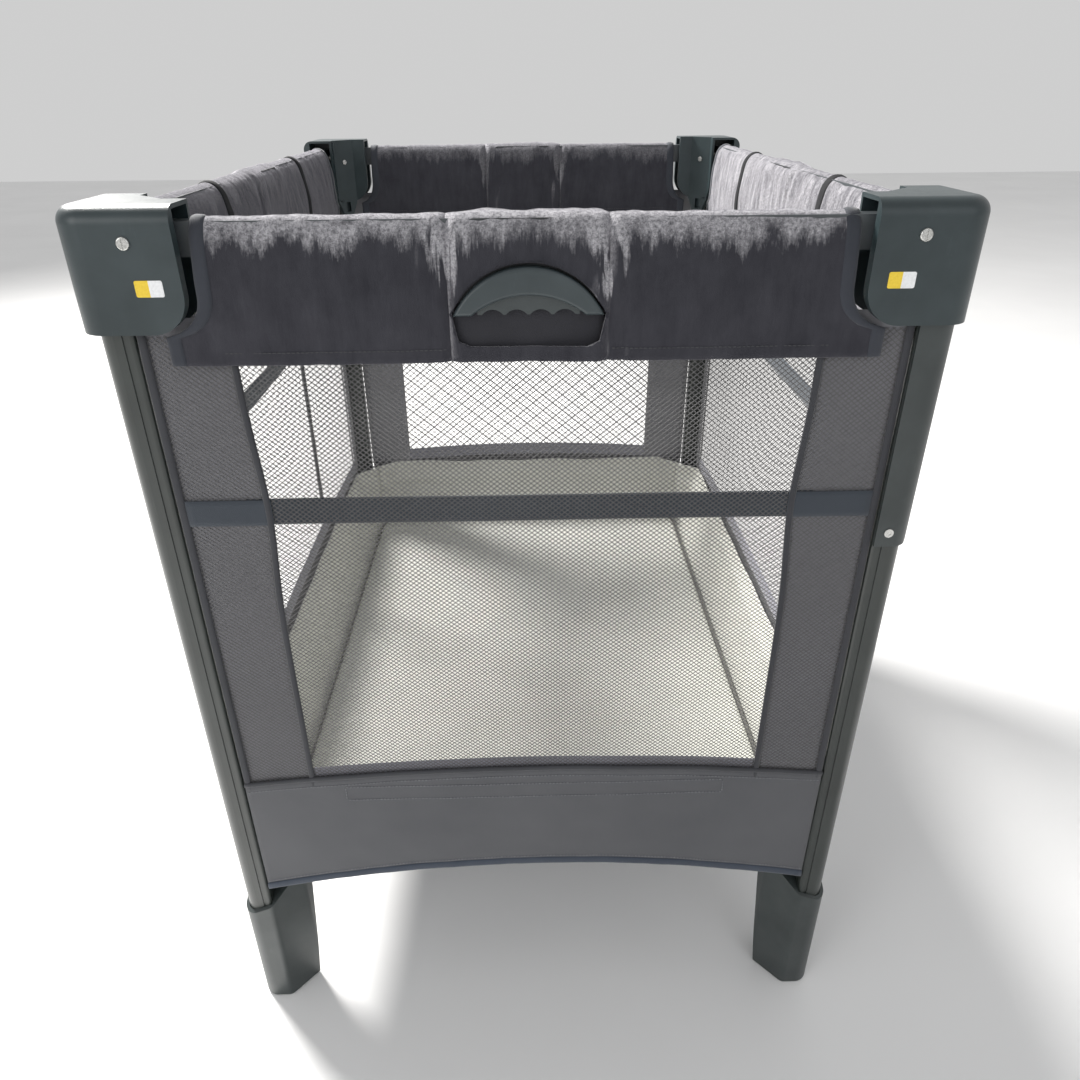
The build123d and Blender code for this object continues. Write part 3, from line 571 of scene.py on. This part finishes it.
def cover_surface(side, s, section, lift=0.0):
    """Points of a cover at distances s along it, with its folds, pushed out by lift."""
    t, z = section[:, 0], section[:, 1]
    ss, tt = np.meshgrid(np.asarray(s, float), t, indexing="ij")
    zz = np.broadcast_to(z, ss.shape)
    seed = 11 * (SIDES.index(side) + 1)
    strength = 1.0 if side in SHORT else 0.25
    out = np.sign(tt) * np.minimum(1, np.abs(tt) / FLAP_T * 1.2)
    down = soft_step(CROWN_Z - zz, 0.0, 0.05)
    top = np.clip((zz - (CROWN_Z - CROWN_R)) / CROWN_R, 0, 1)
    hug = 1 - np.exp(-(ss / (54 * MM)) ** 6)
    beside = (np.abs(ss) - SEAM_S) / MM
    near_seam = strength * np.exp(-(beside / 24) ** 2)
    slow = waves(seed, ss, zz * 0.6 + np.sign(tt) * 0.7, 0.16)
    folds = waves(seed + 1, ss + 0.012 * np.sin(zz * 40 + seed), zz * 0.12 + np.sign(tt), 0.034)
    fine = waves(seed + 2, ss, zz * 0.3 + np.sign(tt) * 0.4, 0.013)
    fold_size = (0.7 + 1.9 * near_seam + strength * (1 - hug)) * MM
    push = 1.5 * MM * slow + fold_size * folds * (0.35 + 0.65 * down)
    push += 0.45 * MM * fine + 1.6 * MM * np.sin(np.clip((CROWN_Z - zz) / 0.085, 0, 1) * math.pi)
    hem = np.exp(-((zz - HEM_OF_COVER) / (9 * MM)) ** 2)
    push += 0.8 * MM * hem * waves(seed + 3, ss, zz * 0, 0.02)
    groove = np.exp(-(beside / 2.6) ** 2)
    gather = 2.6 * np.exp(-((np.abs(beside) - 6.5) / 2.6) ** 2) + 1.5 * np.exp(-((beside - 16) / 3) ** 2)
    push += strength * MM * (gather - 4.6 * groove) * (0.45 + 0.55 * (1 - down))
    push += lift
    narrow = 1 - HUG_IN * hug * np.exp(-((CROWN_Z - zz) / (30 * MM)) ** 2)
    rise = 0.35 * MM * (slow + folds + fine + 1) + (1 - hug) * 0.6 * MM * folds - HUG_DROP * hug + lift
    rise -= strength * 1.2 * MM * groove
    return np.stack([ss, tt * narrow + out * push * narrow, zz + top * rise], -1)


def flare_at(z, inner):
    """How far a cover's end runs out under the corner housing, at a height."""
    u = np.clip((HOUSING_LOW + 25 * MM - z) / (27 * MM), 0, 1)
    return (0.7 if inner else 1.0) * FLARE * (1 - np.sqrt(1 - u * u * 0.999))


def cover_rows(side, start, end, count, section):
    """Grid of a cover's points from start to end, with its ends flared under the housings."""
    half = cover_half(side)
    s = np.linspace(start, end, count)
    grid = cover_surface(side, s, section)
    for j, (t, z) in enumerate(section):
        reach = flare_at(z, t > 0)
        if reach <= 0:
            continue
        share = soft_step(np.abs(s), half - 60 * MM, half)
        grid[:, j, 0] += np.sign(s) * share * reach
    return grid


def cover_ribbon(name, side, at, wide, section, material, lift=1.3 * MM):
    """A narrow band sewn round a cover's whole girth at one place along it."""
    half = cover_half(side)
    s = np.linspace(at - wide / 2, at + wide / 2, 5)
    bulge = np.array([0.35, 0.9, 1.0, 0.9, 0.35])
    grid = cover_surface(side, s, section)
    lifted = cover_surface(side, s, section, lift)
    grid = grid + (lifted - grid) * bulge[:, None, None]
    for j, (t, z) in enumerate(section):
        share = soft_step(np.abs(at), half - 60 * MM, half)
        grid[:, j, 0] += np.sign(at) * share * flare_at(z, t > 0)
    piece = thick_sheet(name, on_side(side, grid), 1.6 * MM, material)
    return piece


def squash_cover(piece, body, side):
    """A cover rides on its part of the frame, with a mesh of its own."""
    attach(piece, body)
    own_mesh(piece)


def grip_cutter(side):
    """The shape of the opening that a cover leaves round the crescent grip."""
    low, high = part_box(f"{side}_crescent_grip")
    reach, foot = (high.x - low.x) / 2 + 1.5 * MM, low.z
    rise = high.z - foot + 2 * MM
    radius = (reach ** 2 + rise ** 2) / (2 * rise)
    centre = foot + rise - radius
    arc = []
    for a in np.linspace(-1, 1, 25):
        angle = math.asin(reach / radius) * a
        arc.append((radius * math.sin(angle), centre + radius * math.cos(angle)))
    outline = arc + [(reach - 4 * MM, foot - 18 * MM), (reach - 12 * MM, foot - 22 * MM),
                     (12 * MM - reach, foot - 22 * MM), (4 * MM - reach, foot - 18 * MM)]
    near = [(s, -30 * MM, z) for s, z in outline]
    far = [(s, -5 * MM, z) for s, z in outline]
    count = len(outline)
    faces = [tuple(range(count)), tuple(range(2 * count - 1, count - 1, -1))]
    faces += [(k, (k + 1) % count, count + (k + 1) % count, count + k) for k in range(count)]
    return outward(make_piece(f"cutter_{side}", on_side(side, near + far), faces, VELOUR, False))


def build_cover_part(side, part, start, end, section):
    """One length of a cover, sewn round a half rail or round the lock housing."""
    count = max(24, int((end - start) / (2.6 * MM)))
    grid = cover_rows(side, start - 0.4 * MM, end + 0.4 * MM, count, section)
    piece = thick_sheet(f"{side}_cover_{part}", on_side(side, grid), COVER_THICK, VELOUR)
    is_centre = part == "centre"
    if is_centre and side in SHORT:
        cutter = grip_cutter(side)
        cut = piece.modifiers.new("cut", "BOOLEAN")
        cut.object, cut.operation, cut.solver = cutter, "DIFFERENCE", "EXACT"
        settle(piece)
        bpy.data.objects.remove(cutter)
    if is_centre:
        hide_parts(f"{side}_rail_cover")
    squash_cover(piece, f"{side}_lock" if is_centre else f"{side}_rail_{part}", side)


def build_grip_backing(side):
    """Cloth set back in the opening under the grip, coloured dark as painted shade of the recess."""
    across = np.linspace(-50 * MM, 50 * MM, 30)
    up = np.linspace(HEM_OF_COVER + 1 * MM, GRIP_LOW + 6 * MM, 12)
    s, z = np.meshgrid(across, up)
    name = f"{side}_grip_backing"
    cloth = flat_panel(name, side, s, z, -11.4 * MM, 1.0 * MM, SHADED_BACKING, 0.3 * MM, 14)
    squash_cover(cloth, f"{side}_lock", side)


def build_cover_trim(side, part, sign, section):
    """The end binding of one end of a cover and, on a long side, its dark band."""
    half = cover_half(side)
    body = f"{side}_rail_{part}"
    at = sign * (half - 2 * MM)
    binding = cover_ribbon(f"{side}_cover_binding_{part}", side, at, 9 * MM, section, BINDING)
    squash_cover(binding, body, side)
    if side not in SHORT:
        at = sign * BAND_AT
        band = cover_ribbon(f"{side}_cover_band_{part}", side, at, BAND_WIDE, section, BLACK_BAND)
        squash_cover(band, body, side)


def build_hem_stitches(side, part, sign, section):
    """Stitches along both hems of one length of a cover."""
    start = SEAM_S if side in SHORT else HINGE
    s = np.linspace(sign * (start + 2 * MM), sign * (cover_half(side) - 8 * MM), 120)
    lines = []
    for hem in (section[1:2], section[-2:-1]):
        raised = hem + np.array([0, 5 * MM])
        points = cover_surface(side, s, raised, 1.1 * MM)[:, 0]
        ups = np.zeros_like(points)
        ups[:, 1] = np.sign(hem[0, 0])
        lines.append((on_side(side, points), turn_only(side, ups)))
    sewn = stitches(f"{side}_cover_hem_stitches_{part}", lines, DARK_STITCH)
    squash_cover(sewn, f"{side}_rail_{part}", side)


def build_covers():
    """All four rail covers: a sleeve on each half rail and a centre piece on the lock housing."""
    section = girth(26)
    for side in SIDES:
        half = cover_half(side)
        centre_half = SEAM_S if side in SHORT else HINGE
        low_end, high_end = END_OF[side]
        build_cover_part(side, low_end, -half, -centre_half, section)
        build_cover_part(side, high_end, centre_half, half, section)
        build_cover_part(side, "centre", -centre_half, centre_half, section)
        if side in SHORT:
            build_grip_backing(side)
        for sign, part in ((-1, low_end), (1, high_end)):
            build_cover_trim(side, part, sign, section)
        for sign, part in ((-1, low_end), (1, high_end)):
            build_hem_stitches(side, part, sign, section)


# ---- walls ----

def wall_half(side):
    """From a wall's centre to its edge."""
    return (LEG_IN_X if side in SHORT else LEG_IN_Y) - 1 * MM


def squash_wall(piece, side):
    """A wall rides on the leg that it is attached to, with a mesh of its own."""
    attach(piece, WALL_BODY[side])
    if side in SHORT:
        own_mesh(piece)
    else:
        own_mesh(piece)
    return piece


def flat_panel(name, side, s, z, t, thickness, material, ripple=0.0, seed=1):
    """A sheet between two edges. s and z are grids of places, t its distance from the rail's plane."""
    bend = ripple * waves(seed, s, z, 0.12)
    grid = np.stack([s, t + bend, z], -1)
    return thick_sheet(name, on_side(side, grid), thickness, material)


def net_bars(half, low, high):
    """Starts and ends of crossed diagonal yarns that fill a rectangle."""
    starts, ends = [], []
    lean = (high - low) * NET_ACROSS / NET_UP
    count = int((2 * half + lean) / NET_ACROSS)
    for layer, sign in enumerate((1, -1)):
        for n in range(1, count):
            foot, head = -half - lean + n * NET_ACROSS, -half + n * NET_ACROSS
            cut_foot, cut_head = max(0.0, -half - foot) / lean, max(0.0, head - half) / lean
            z0, z1 = low + (high - low) * cut_foot, high - (high - low) * cut_head
            if z1 - z0 < 1 * MM:
                continue
            t = NET_T + layer * NET_THIN
            starts.append((sign * max(foot, -half), t, z0))
            ends.append((sign * min(head, half), t, z1))
    return np.array(starts), np.array(ends)


def build_net(side):
    """See-through netting over a whole wall."""
    half, low, high = wall_half(side) - 1 * MM, BAND_TOP - 8 * MM, WALL_TOP - 1 * MM
    starts, ends = net_bars(half, low, high)
    ups = np.zeros_like(starts) + (0, 1, 0)
    net = prisms(f"{side}_net", on_side(side, starts), on_side(side, ends), turn_only(side, ups), NET_YARN,
                 NET_THIN, NET)
    squash_wall(net, side)
    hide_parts(f"{side}_wall")


def strip_edge(z, inner, side):
    """Where a corner strip ends: a little drawn in where the strap crosses."""
    return inner - 5 * MM * np.exp(-((z - STRAP_LOW - 10 * MM) / (60 * MM)) ** 2)


def build_wall(side):
    """One wall: netting, corner strips, bindings, strap, lower band, hem and stitching."""
    half = wall_half(side)
    build_net(side)
    inner = STRIP_IN if side in SHORT else half - LONG_STRIP
    z = np.linspace(BAND_TOP - 4 * MM, WALL_TOP + 11 * MM, 50)
    for sign, word in ((-1, "a"), (1, "b")):
        edge = strip_edge(z, inner, side)
        across = np.linspace(0, 1, 9)
        s = sign * (edge[:, None] + (half - edge[:, None]) * across)
        zz = np.repeat(z[:, None], 9, 1)
        name = f"{side}_strip_{word}"
        strip = flat_panel(name, side, s, zz, NET_T + 1.7 * MM, 0.9 * MM, STRIP, 0.25 * MM, 3)
        squash_wall(strip, side)
        profile = np.linspace(-1, 1, 7)
        at_leg = np.full_like(edge, half - 3 * MM)
        for mark, centre, wide in (("edge", edge + 1.6 * MM, 4.5 * MM), ("leg", at_leg, 5.5 * MM)):
            s = sign * (centre[:, None] + profile * wide / 2)
            t = NET_T - 0.7 * MM - 1.1 * MM * np.sqrt(np.maximum(0, 1 - profile ** 2))[None, :] + 0 * s
            grid = np.stack([s, t, np.repeat(z[:, None], 7, 1)], -1)
            tape = thick_sheet(f"{side}_{mark}_binding_{word}", on_side(side, grid), 0.8 * MM, EDGE)
            squash_wall(tape, side)
        inside, outside = strip_edge(np.array([STRAP_LOW]), inner, side)[0], half - 6 * MM
        s = sign * np.linspace(inside - 1 * MM, outside, 12)[None, :] + np.zeros((6, 1))
        zz = np.linspace(STRAP_LOW, STRAP_HIGH, 6)[:, None] + np.zeros((1, 12))
        name = f"{side}_strap_end_{word}"
        patch = flat_panel(name, side, s, zz, NET_T - 0.9 * MM, 0.8 * MM, STRAP, 0.15 * MM, 8)
        squash_wall(patch, side)
    reach = inner + 12 * MM
    s = np.linspace(-reach, reach, 60)[None, :] + np.zeros((6, 1))
    zz = np.linspace(STRAP_LOW, STRAP_HIGH, 6)[:, None] + np.zeros((1, 60))
    strap = flat_panel(f"{side}_strap", side, s, zz, NET_T + 1.25 * MM, 1.0 * MM, STRAP, 0.3 * MM, 9)
    squash_wall(strap, side)
    build_band(side, half)


def band_top(s, half):
    """Height of the lower band's top edge."""
    return BAND_TOP + BAND_BOW * (1 - (s / half) ** 2)


def hem_low(s, half):
    """Height of the lower band's arched hem."""
    return WALL_LOW + 2 * MM + HEM_RISE * (1 - (s / half) ** 2)


def build_band(side, half):
    """The solid lower band with its hem, top binding and stitched pocket."""
    s1 = np.linspace(-half, half, 110)
    v = np.linspace(0, 1, 26)
    low, high = hem_low(s1, half), band_top(s1, half)
    s = np.repeat(s1[None, :], 26, 0)
    z = low[None, :] + (high - low)[None, :] * v[:, None]
    belly = -2.2 * MM * np.sin(v * math.pi)[:, None] * (1 - (s / half) ** 6)
    creases = 0.5 * MM * waves(31 + SIDES.index(side), s, z * 0.4, 0.09) + 0.22 * MM * waves(7, s, z, 0.03)
    grid = np.stack([s, NET_T - 1.2 * MM + belly + creases * (1 - (s / half) ** 6), z], -1)
    band = thick_sheet(f"{side}_lower_band", on_side(side, grid), 1.1 * MM, BAND)
    squash_wall(band, side)
    for name, row, wide, material in (("hem", 0, 8 * MM, HEM), ("top_binding", 25, 4.5 * MM, EDGE)):
        profile = np.linspace(-1, 1, 9)
        centre = grid[row]
        rise = (profile * wide / 2 + (2.5 * MM if row == 0 else 2 * MM))[:, None]
        t = centre[None, :, 1] - (0.6 + 1.0 * np.sqrt(np.maximum(0, 1 - profile ** 2)))[:, None] * MM
        tape = np.stack([np.repeat(s1[None, :], 9, 0), t, centre[None, :, 2] + rise], -1)
        squash_wall(thick_sheet(f"{side}_{name}", on_side(side, tape), 0.9 * MM, material), side)
    reach = (STRIP_IN if side in SHORT else half - LONG_STRIP) + 4 * MM
    s, rise = np.meshgrid(np.linspace(-reach, reach, 60), np.linspace(-6 * MM, 13 * MM, 6))
    inner = flat_panel(f"{side}_inner_band", side, s, band_top(s, half) + rise, NET_T + 1.2 * MM, 0.8 * MM,
                       INNER_BAND, 0.25 * MM, 12)
    squash_wall(inner, side)
    lines = []
    out = np.tile([[0.0, -1.0, 0.0]], (110, 1))
    ups = turn_only(side, out)
    for row, gap in ((0, 9 * MM), (25, -7 * MM)):
        line = grid[row].copy()
        line[:, 2] += gap
        k = 2 if row == 0 else 23
        line[:, 1] = grid[k, :, 1] - 0.7 * MM
        lines.append((on_side(side, line), ups))
    reach = half * POCKET
    pocket_low, pocket_high = BAND_TOP - 17 * MM, BAND_TOP - 2 * MM
    corners = [(-reach, pocket_low), (reach, pocket_low), (reach, pocket_high), (-reach, pocket_high)]
    for k in range(4):
        (a, b), (c, d) = corners[k], corners[(k + 1) % 4]
        sx, sz = np.linspace(a, c, 110), np.linspace(b, d, 110)
        share = (sz - np.interp(sx, s1, low)) / (np.interp(sx, s1, high) - np.interp(sx, s1, low))
        column = np.clip((sx + half) / (2 * half) * 109, 0, 109).astype(int)
        row = np.clip(share * 25, 0, 25).astype(int)
        t = grid[row, column, 1] - 0.7 * MM
        lines.append((on_side(side, np.stack([sx, t, sz], -1)), ups))
    squash_wall(stitches(f"{side}_band_stitches", lines, STITCH), side)


def build_walls():
    """All four walls, and the upright tape on the left one."""
    for side in SIDES:
        build_wall(side)
    tape_at, wide = 110 * MM, 16 * MM
    z = np.linspace(BAND_TOP, WALL_TOP - 10 * MM, 30)[:, None] + np.zeros((1, 5))
    s = -tape_at + np.linspace(-wide / 2, wide / 2, 5)[None, :] + np.zeros((30, 1))
    tape = flat_panel("left_upright_tape", "left", s, z, NET_T - 0.8 * MM, 0.8 * MM, STRAP, 0.1 * MM, 5)
    squash_wall(tape, "left")


# ---- liner, floor sheet and mattress ----

def build_liner(side):
    """Sloping cream liner from the mattress's edge up to the wall's band, folded in round the legs."""
    half = (PAD_X if side in SHORT else PAD_Y) + 3 * MM
    rail = RAIL_Y if side in SHORT else RAIL_X
    edge = (PAD_Y if side in SHORT else PAD_X) + 2 * MM
    low_t, top_t = rail - edge, -5 * MM
    s1 = np.linspace(-half, half, 150 if side not in SHORT else 110)
    v = np.linspace(0, 1, 22)
    s, vv = np.meshgrid(s1, v)
    fold_in = soft_step(np.abs(s), half - 34 * MM, half - 2 * MM)
    top = top_t * (1 - fold_in) + (low_t - 1.5 * MM) * fold_in
    z_low = PAD_LOW + 4 * MM
    z = z_low + (LINER_TOP - z_low) * vv + 2 * MM * waves(41, s, vv * 0, 0.15) * vv * (1 - fold_in)
    shape = vv ** 0.75
    t = low_t + (top - low_t) * shape
    seed = 50 + SIDES.index(side)
    ease = np.sin(vv * math.pi) * (1 - fold_in * 0.6)
    t = t + (2.6 * MM * waves(seed, s, z * 0.5, 0.11) + 1.0 * MM * waves(seed + 9, s, z, 0.04)) * ease
    ridge = 3.5 * MM * np.exp(-((vv - 0.78 - 0.05 * np.sin(s * 14 + seed)) / 0.06) ** 2) * (1 - fold_in)
    grid = np.stack([s, t + ridge, z], -1)
    liner = thick_sheet(f"{side}_liner", on_side(side, grid), 1.1 * MM, CREAM)
    squash_wall(liner, side)
    points = on_side(side, grid[20] + np.array([0, 0.8 * MM, 0]))
    ups = turn_only(side, np.tile([[0.0, 1.0, 0.0]], (len(s1), 1)))
    squash_wall(stitches(f"{side}_liner_stitches", [(points, ups)], CREAM_STITCH), side)


def build_floor_sheet():
    """The floor sheet under the mattress: a quarter on each floor arm."""
    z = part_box("floor_fabric")[0].z + 0.5 * MM
    x_max, y_max = PAD_X + 1 * MM, PAD_Y + 1 * MM
    corners = {"front_left": (-1, -1), "front_right": (1, -1), "back_left": (-1, 1), "back_right": (1, 1)}
    for name, (sx, sy) in corners.items():
        u, v = np.meshgrid(np.linspace(0, x_max, 30), np.linspace(0, y_max, 40), indexing="ij")
        sag = -0.5 * MM * np.sin(u / x_max * math.pi) * np.sin(v / y_max * math.pi)
        grid = np.stack([sx * u, sy * v, z + sag], -1)
        quarter = thick_sheet(f"floor_sheet_{name}", grid, 0.7 * MM, BAND)
        if name == "front_left":
            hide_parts("floor_fabric")
        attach(quarter, f"floor_arm_{name}")
        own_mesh(quarter)


def pad_outline(count_x, count_y, radius):
    """Points round a rounded rectangle of the pad's size, and their outward directions."""
    points, ways = [], []
    corners = ((1, 1, 0), (-1, 1, 90), (-1, -1, 180), (1, -1, 270))
    for k, (sx, sy, start) in enumerate(corners):
        centre = Vector((sx * (PAD_X - radius), sy * (PAD_Y - radius)))
        for a in np.linspace(0, 90, 9):
            way = Vector((math.cos(math.radians(start + a)), math.sin(math.radians(start + a))))
            points.append(centre + way * radius)
            ways.append(way)
        nx, ny, _ = corners[(k + 1) % 4]
        last = points[-1]
        target = Vector((nx * (PAD_X - radius), ny * (PAD_Y - radius))) + ways[-1] * radius
        steps = count_x if k % 2 == 0 else count_y
        for m in range(1, steps):
            points.append(last.lerp(target, m / steps))
            ways.append(ways[-1].copy())
    return np.array([tuple(p) for p in points]), np.array([tuple(w) for w in ways])


def build_mattress():
    """Mattress pad: a crowned cushion in a fitted cover with a piped edge."""
    outline, ways = pad_outline(50, 70, PAD_ROUND)
    count = len(outline)
    thick = PAD_TOP - PAD_LOW
    profile = [(0.0, 0.5), (-0.7 * MM, 0.72), (-2.6 * MM, 0.9), (-6.5 * MM, 0.985), (-13 * MM, 1.0)]
    loops = []
    for back, up in [(b, 1 - u) for b, u in profile[::-1]][:-1] + profile:
        ring = outline + ways * (back - 1.0 * MM)
        loops.append(np.column_stack([ring, np.full(count, PAD_LOW + thick * up)]))
    edge = loops[-1][:, :2]
    inner_steps = 44
    for m in range(1, inner_steps):
        share = m / inner_steps
        ring = edge * (1 - share)
        loops.append(np.column_stack([ring, np.full(count, PAD_TOP)]))
    grid = np.array(loops)
    on_top = np.arange(len(loops)) > len(profile) * 2 - 3
    x, y = grid[..., 0], grid[..., 1]
    fall = np.clip(1 - np.maximum(np.abs(x) / PAD_X, np.abs(y) / PAD_Y), 0, 1)
    crown = 2.4 * MM * (1 - np.exp(-fall * 9))
    dents = 1.3 * MM * waves(77, x, y, 0.3) + 0.5 * MM * waves(78, x, y, 0.09)
    grid[..., 2] += on_top[:, None] * (crown + dents * (1 - np.exp(-fall * 14)) - 1.2 * MM)
    points = list(map(tuple, grid.reshape(-1, 3)))
    faces = grid_faces(len(loops), count, 0, True)
    top = len(points)
    points.append((0, 0, float(grid[-1, :, 2].mean())))
    points.append((0, 0, PAD_LOW))
    last = (len(loops) - 1) * count
    for k in range(count):
        faces.append((last + k, last + (k + 1) % count, top))
        faces.append(((k + 1) % count, k, top + 1))
    pad = outward(make_piece("mattress_top", points, faces, PAD_CLOTH))
    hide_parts("mattress_pad")
    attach(pad, "mattress")
    seam = outline + ways * 0.2 * MM
    ring = []
    for k in range(8):
        a = 2 * math.pi * k / 8
        height = np.full(count, PAD_TOP - 4.2 * MM + math.sin(a) * PIPING_R)
        ring.append(np.column_stack([seam + ways * math.cos(a) * PIPING_R, height]))
    piping = np.array(ring + ring[:1])
    faces = grid_faces(9, count, 0, True)
    # Its dark colour is partly painted shade of the gap between pad and liner.
    cord = make_piece("mattress_piping", piping.reshape(-1, 3), faces, SEAM_PIPING_AND_SHADE)
    join = bmesh.new()
    join.from_mesh(cord.data)
    bmesh.ops.remove_doubles(join, verts=join.verts, dist=1e-6)
    join.to_mesh(cord.data)
    join.free()
    outward(cord)
    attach(cord, "mattress")


def build_hub_strap():
    """The webbing loop on the hub that is pulled up to fold the frame."""
    low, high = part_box("hub_pull_strap")
    path = []
    for k in range(49):
        a = 2 * math.pi * k / 48
        path.append((high.x * 0.93 * math.copysign(abs(math.cos(a)) ** 0.5, math.cos(a)),
                     9.5 * MM * math.copysign(abs(math.sin(a)) ** 0.5, math.sin(a))))
    path = np.array(path[:-1])
    inner = path * np.array([0.9, 0.45])
    z = (low.z + high.z) / 2
    height = np.full(len(path), z)
    rows = [np.column_stack([path * (1 - w) + inner * w, height]) for w in (0, 0.33, 0.66, 1)]
    grid = np.stack(rows)
    grid = np.concatenate([grid, grid[:, :1]], 1)
    strap = thick_sheet("hub_webbing", grid.transpose(1, 0, 2), 1.1 * MM, STRAP)
    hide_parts("hub_pull_strap")
    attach(strap, "hub")


def build_labels():
    """A plain two-tone patch on the front face of each front housing."""
    for sign, name in ((-1, "left"), (1, "right")):
        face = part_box(f"housing_front_{name}")[0].y
        r = PATCH_ROUND
        outline = []
        for cx, cz, start in ((1, 1, 0), (-1, 1, 90), (-1, -1, 180), (1, -1, 270)):
            for a in np.linspace(0, 90, 5):
                angle = math.radians(start + a)
                x = cx * (PATCH_WIDE / 2 - r) + r * math.cos(angle)
                outline.append((x, cz * (PATCH_TALL / 2 - r) + r * math.sin(angle)))
        near = [(sign * PATCH_X + x, face - 0.25 * MM, PATCH_Z + z) for x, z in outline]
        far = [(x, face - 0.02 * MM, z) for x, _, z in near]
        count = len(outline)
        faces = [tuple(range(count))[::-1], tuple(range(count, 2 * count))]
        faces += [(k, (k + 1) % count, count + (k + 1) % count, count + k) for k in range(count)]
        patch = outward(make_piece(f"patch_front_{name}", near + far, faces, LABEL, False))
        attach(patch, f"leg_front_{name}")


# ---- stage ----
def build_lamps():
    """Round soft lamps, all turned to the middle of the play yard."""
    for name, place, size, power, colour in LAMPS:
        lamp = bpy.data.lights.new(name, "AREA")
        lamp.shape, lamp.size, lamp.energy, lamp.color = "DISK", size, power, colour
        holder = bpy.data.objects.new(name, lamp)
        holder.location = place
        holder.rotation_euler = (Vector((0, 0, 0.45)) - Vector(place)).to_track_quat("-Z", "Y").to_euler()
        bpy.context.collection.objects.link(holder)


def build_camera():
    camera = bpy.data.cameras.new("camera")
    camera.sensor_width = CAMERA_FILM
    camera.lens = CAMERA_LENS
    holder = bpy.data.objects.new("camera", camera)
    turn = Matrix.Rotation(CAMERA_YAW, 4, "Z") @ Matrix.Rotation(math.pi / 2 - CAMERA_PITCH, 4, "X")
    holder.matrix_world = Matrix.Translation(CAMERA_AT) @ turn @ Matrix.Rotation(CAMERA_ROLL, 4, "Z")
    bpy.context.collection.objects.link(holder)
    bpy.context.scene.camera = holder


def build_stage():
    """Pale floor, even world light, soft lamps and the camera."""
    corners = [(-9, -9, 0), (9, -9, 0), (9, 9, 0), (-9, 9, 0)]
    floor = make_piece("floor", corners, [(0, 1, 2, 3)], floor_finish(), False)
    world = bpy.data.worlds.new("studio")
    bpy.context.scene.world = world
    world.use_nodes = True
    background = world.node_tree.nodes["Background"].inputs
    background["Color"].default_value = (1.0, 1.0, 1.0, 1)
    background["Strength"].default_value = WORLD_LIGHT
    build_lamps()
    build_camera()
    bpy.context.scene.view_settings.view_transform = "Standard"


def floor_finish():
    """Pale matt paint."""
    n = Nodes("floor_paint")
    tone = n.noise(1.6, 3.0)
    n.link(n.ramp(tone, (0.8, 0.8, 0.8), (0.84, 0.84, 0.84)), "Base Color")
    n.fix(Roughness=0.9, Specular_IOR_Level=0.1)
    return n.material


build_stage()
build_covers()
build_walls()
for each_side in SIDES:
    build_liner(each_side)
build_floor_sheet()
build_mattress()
build_hub_strap()
build_labels()
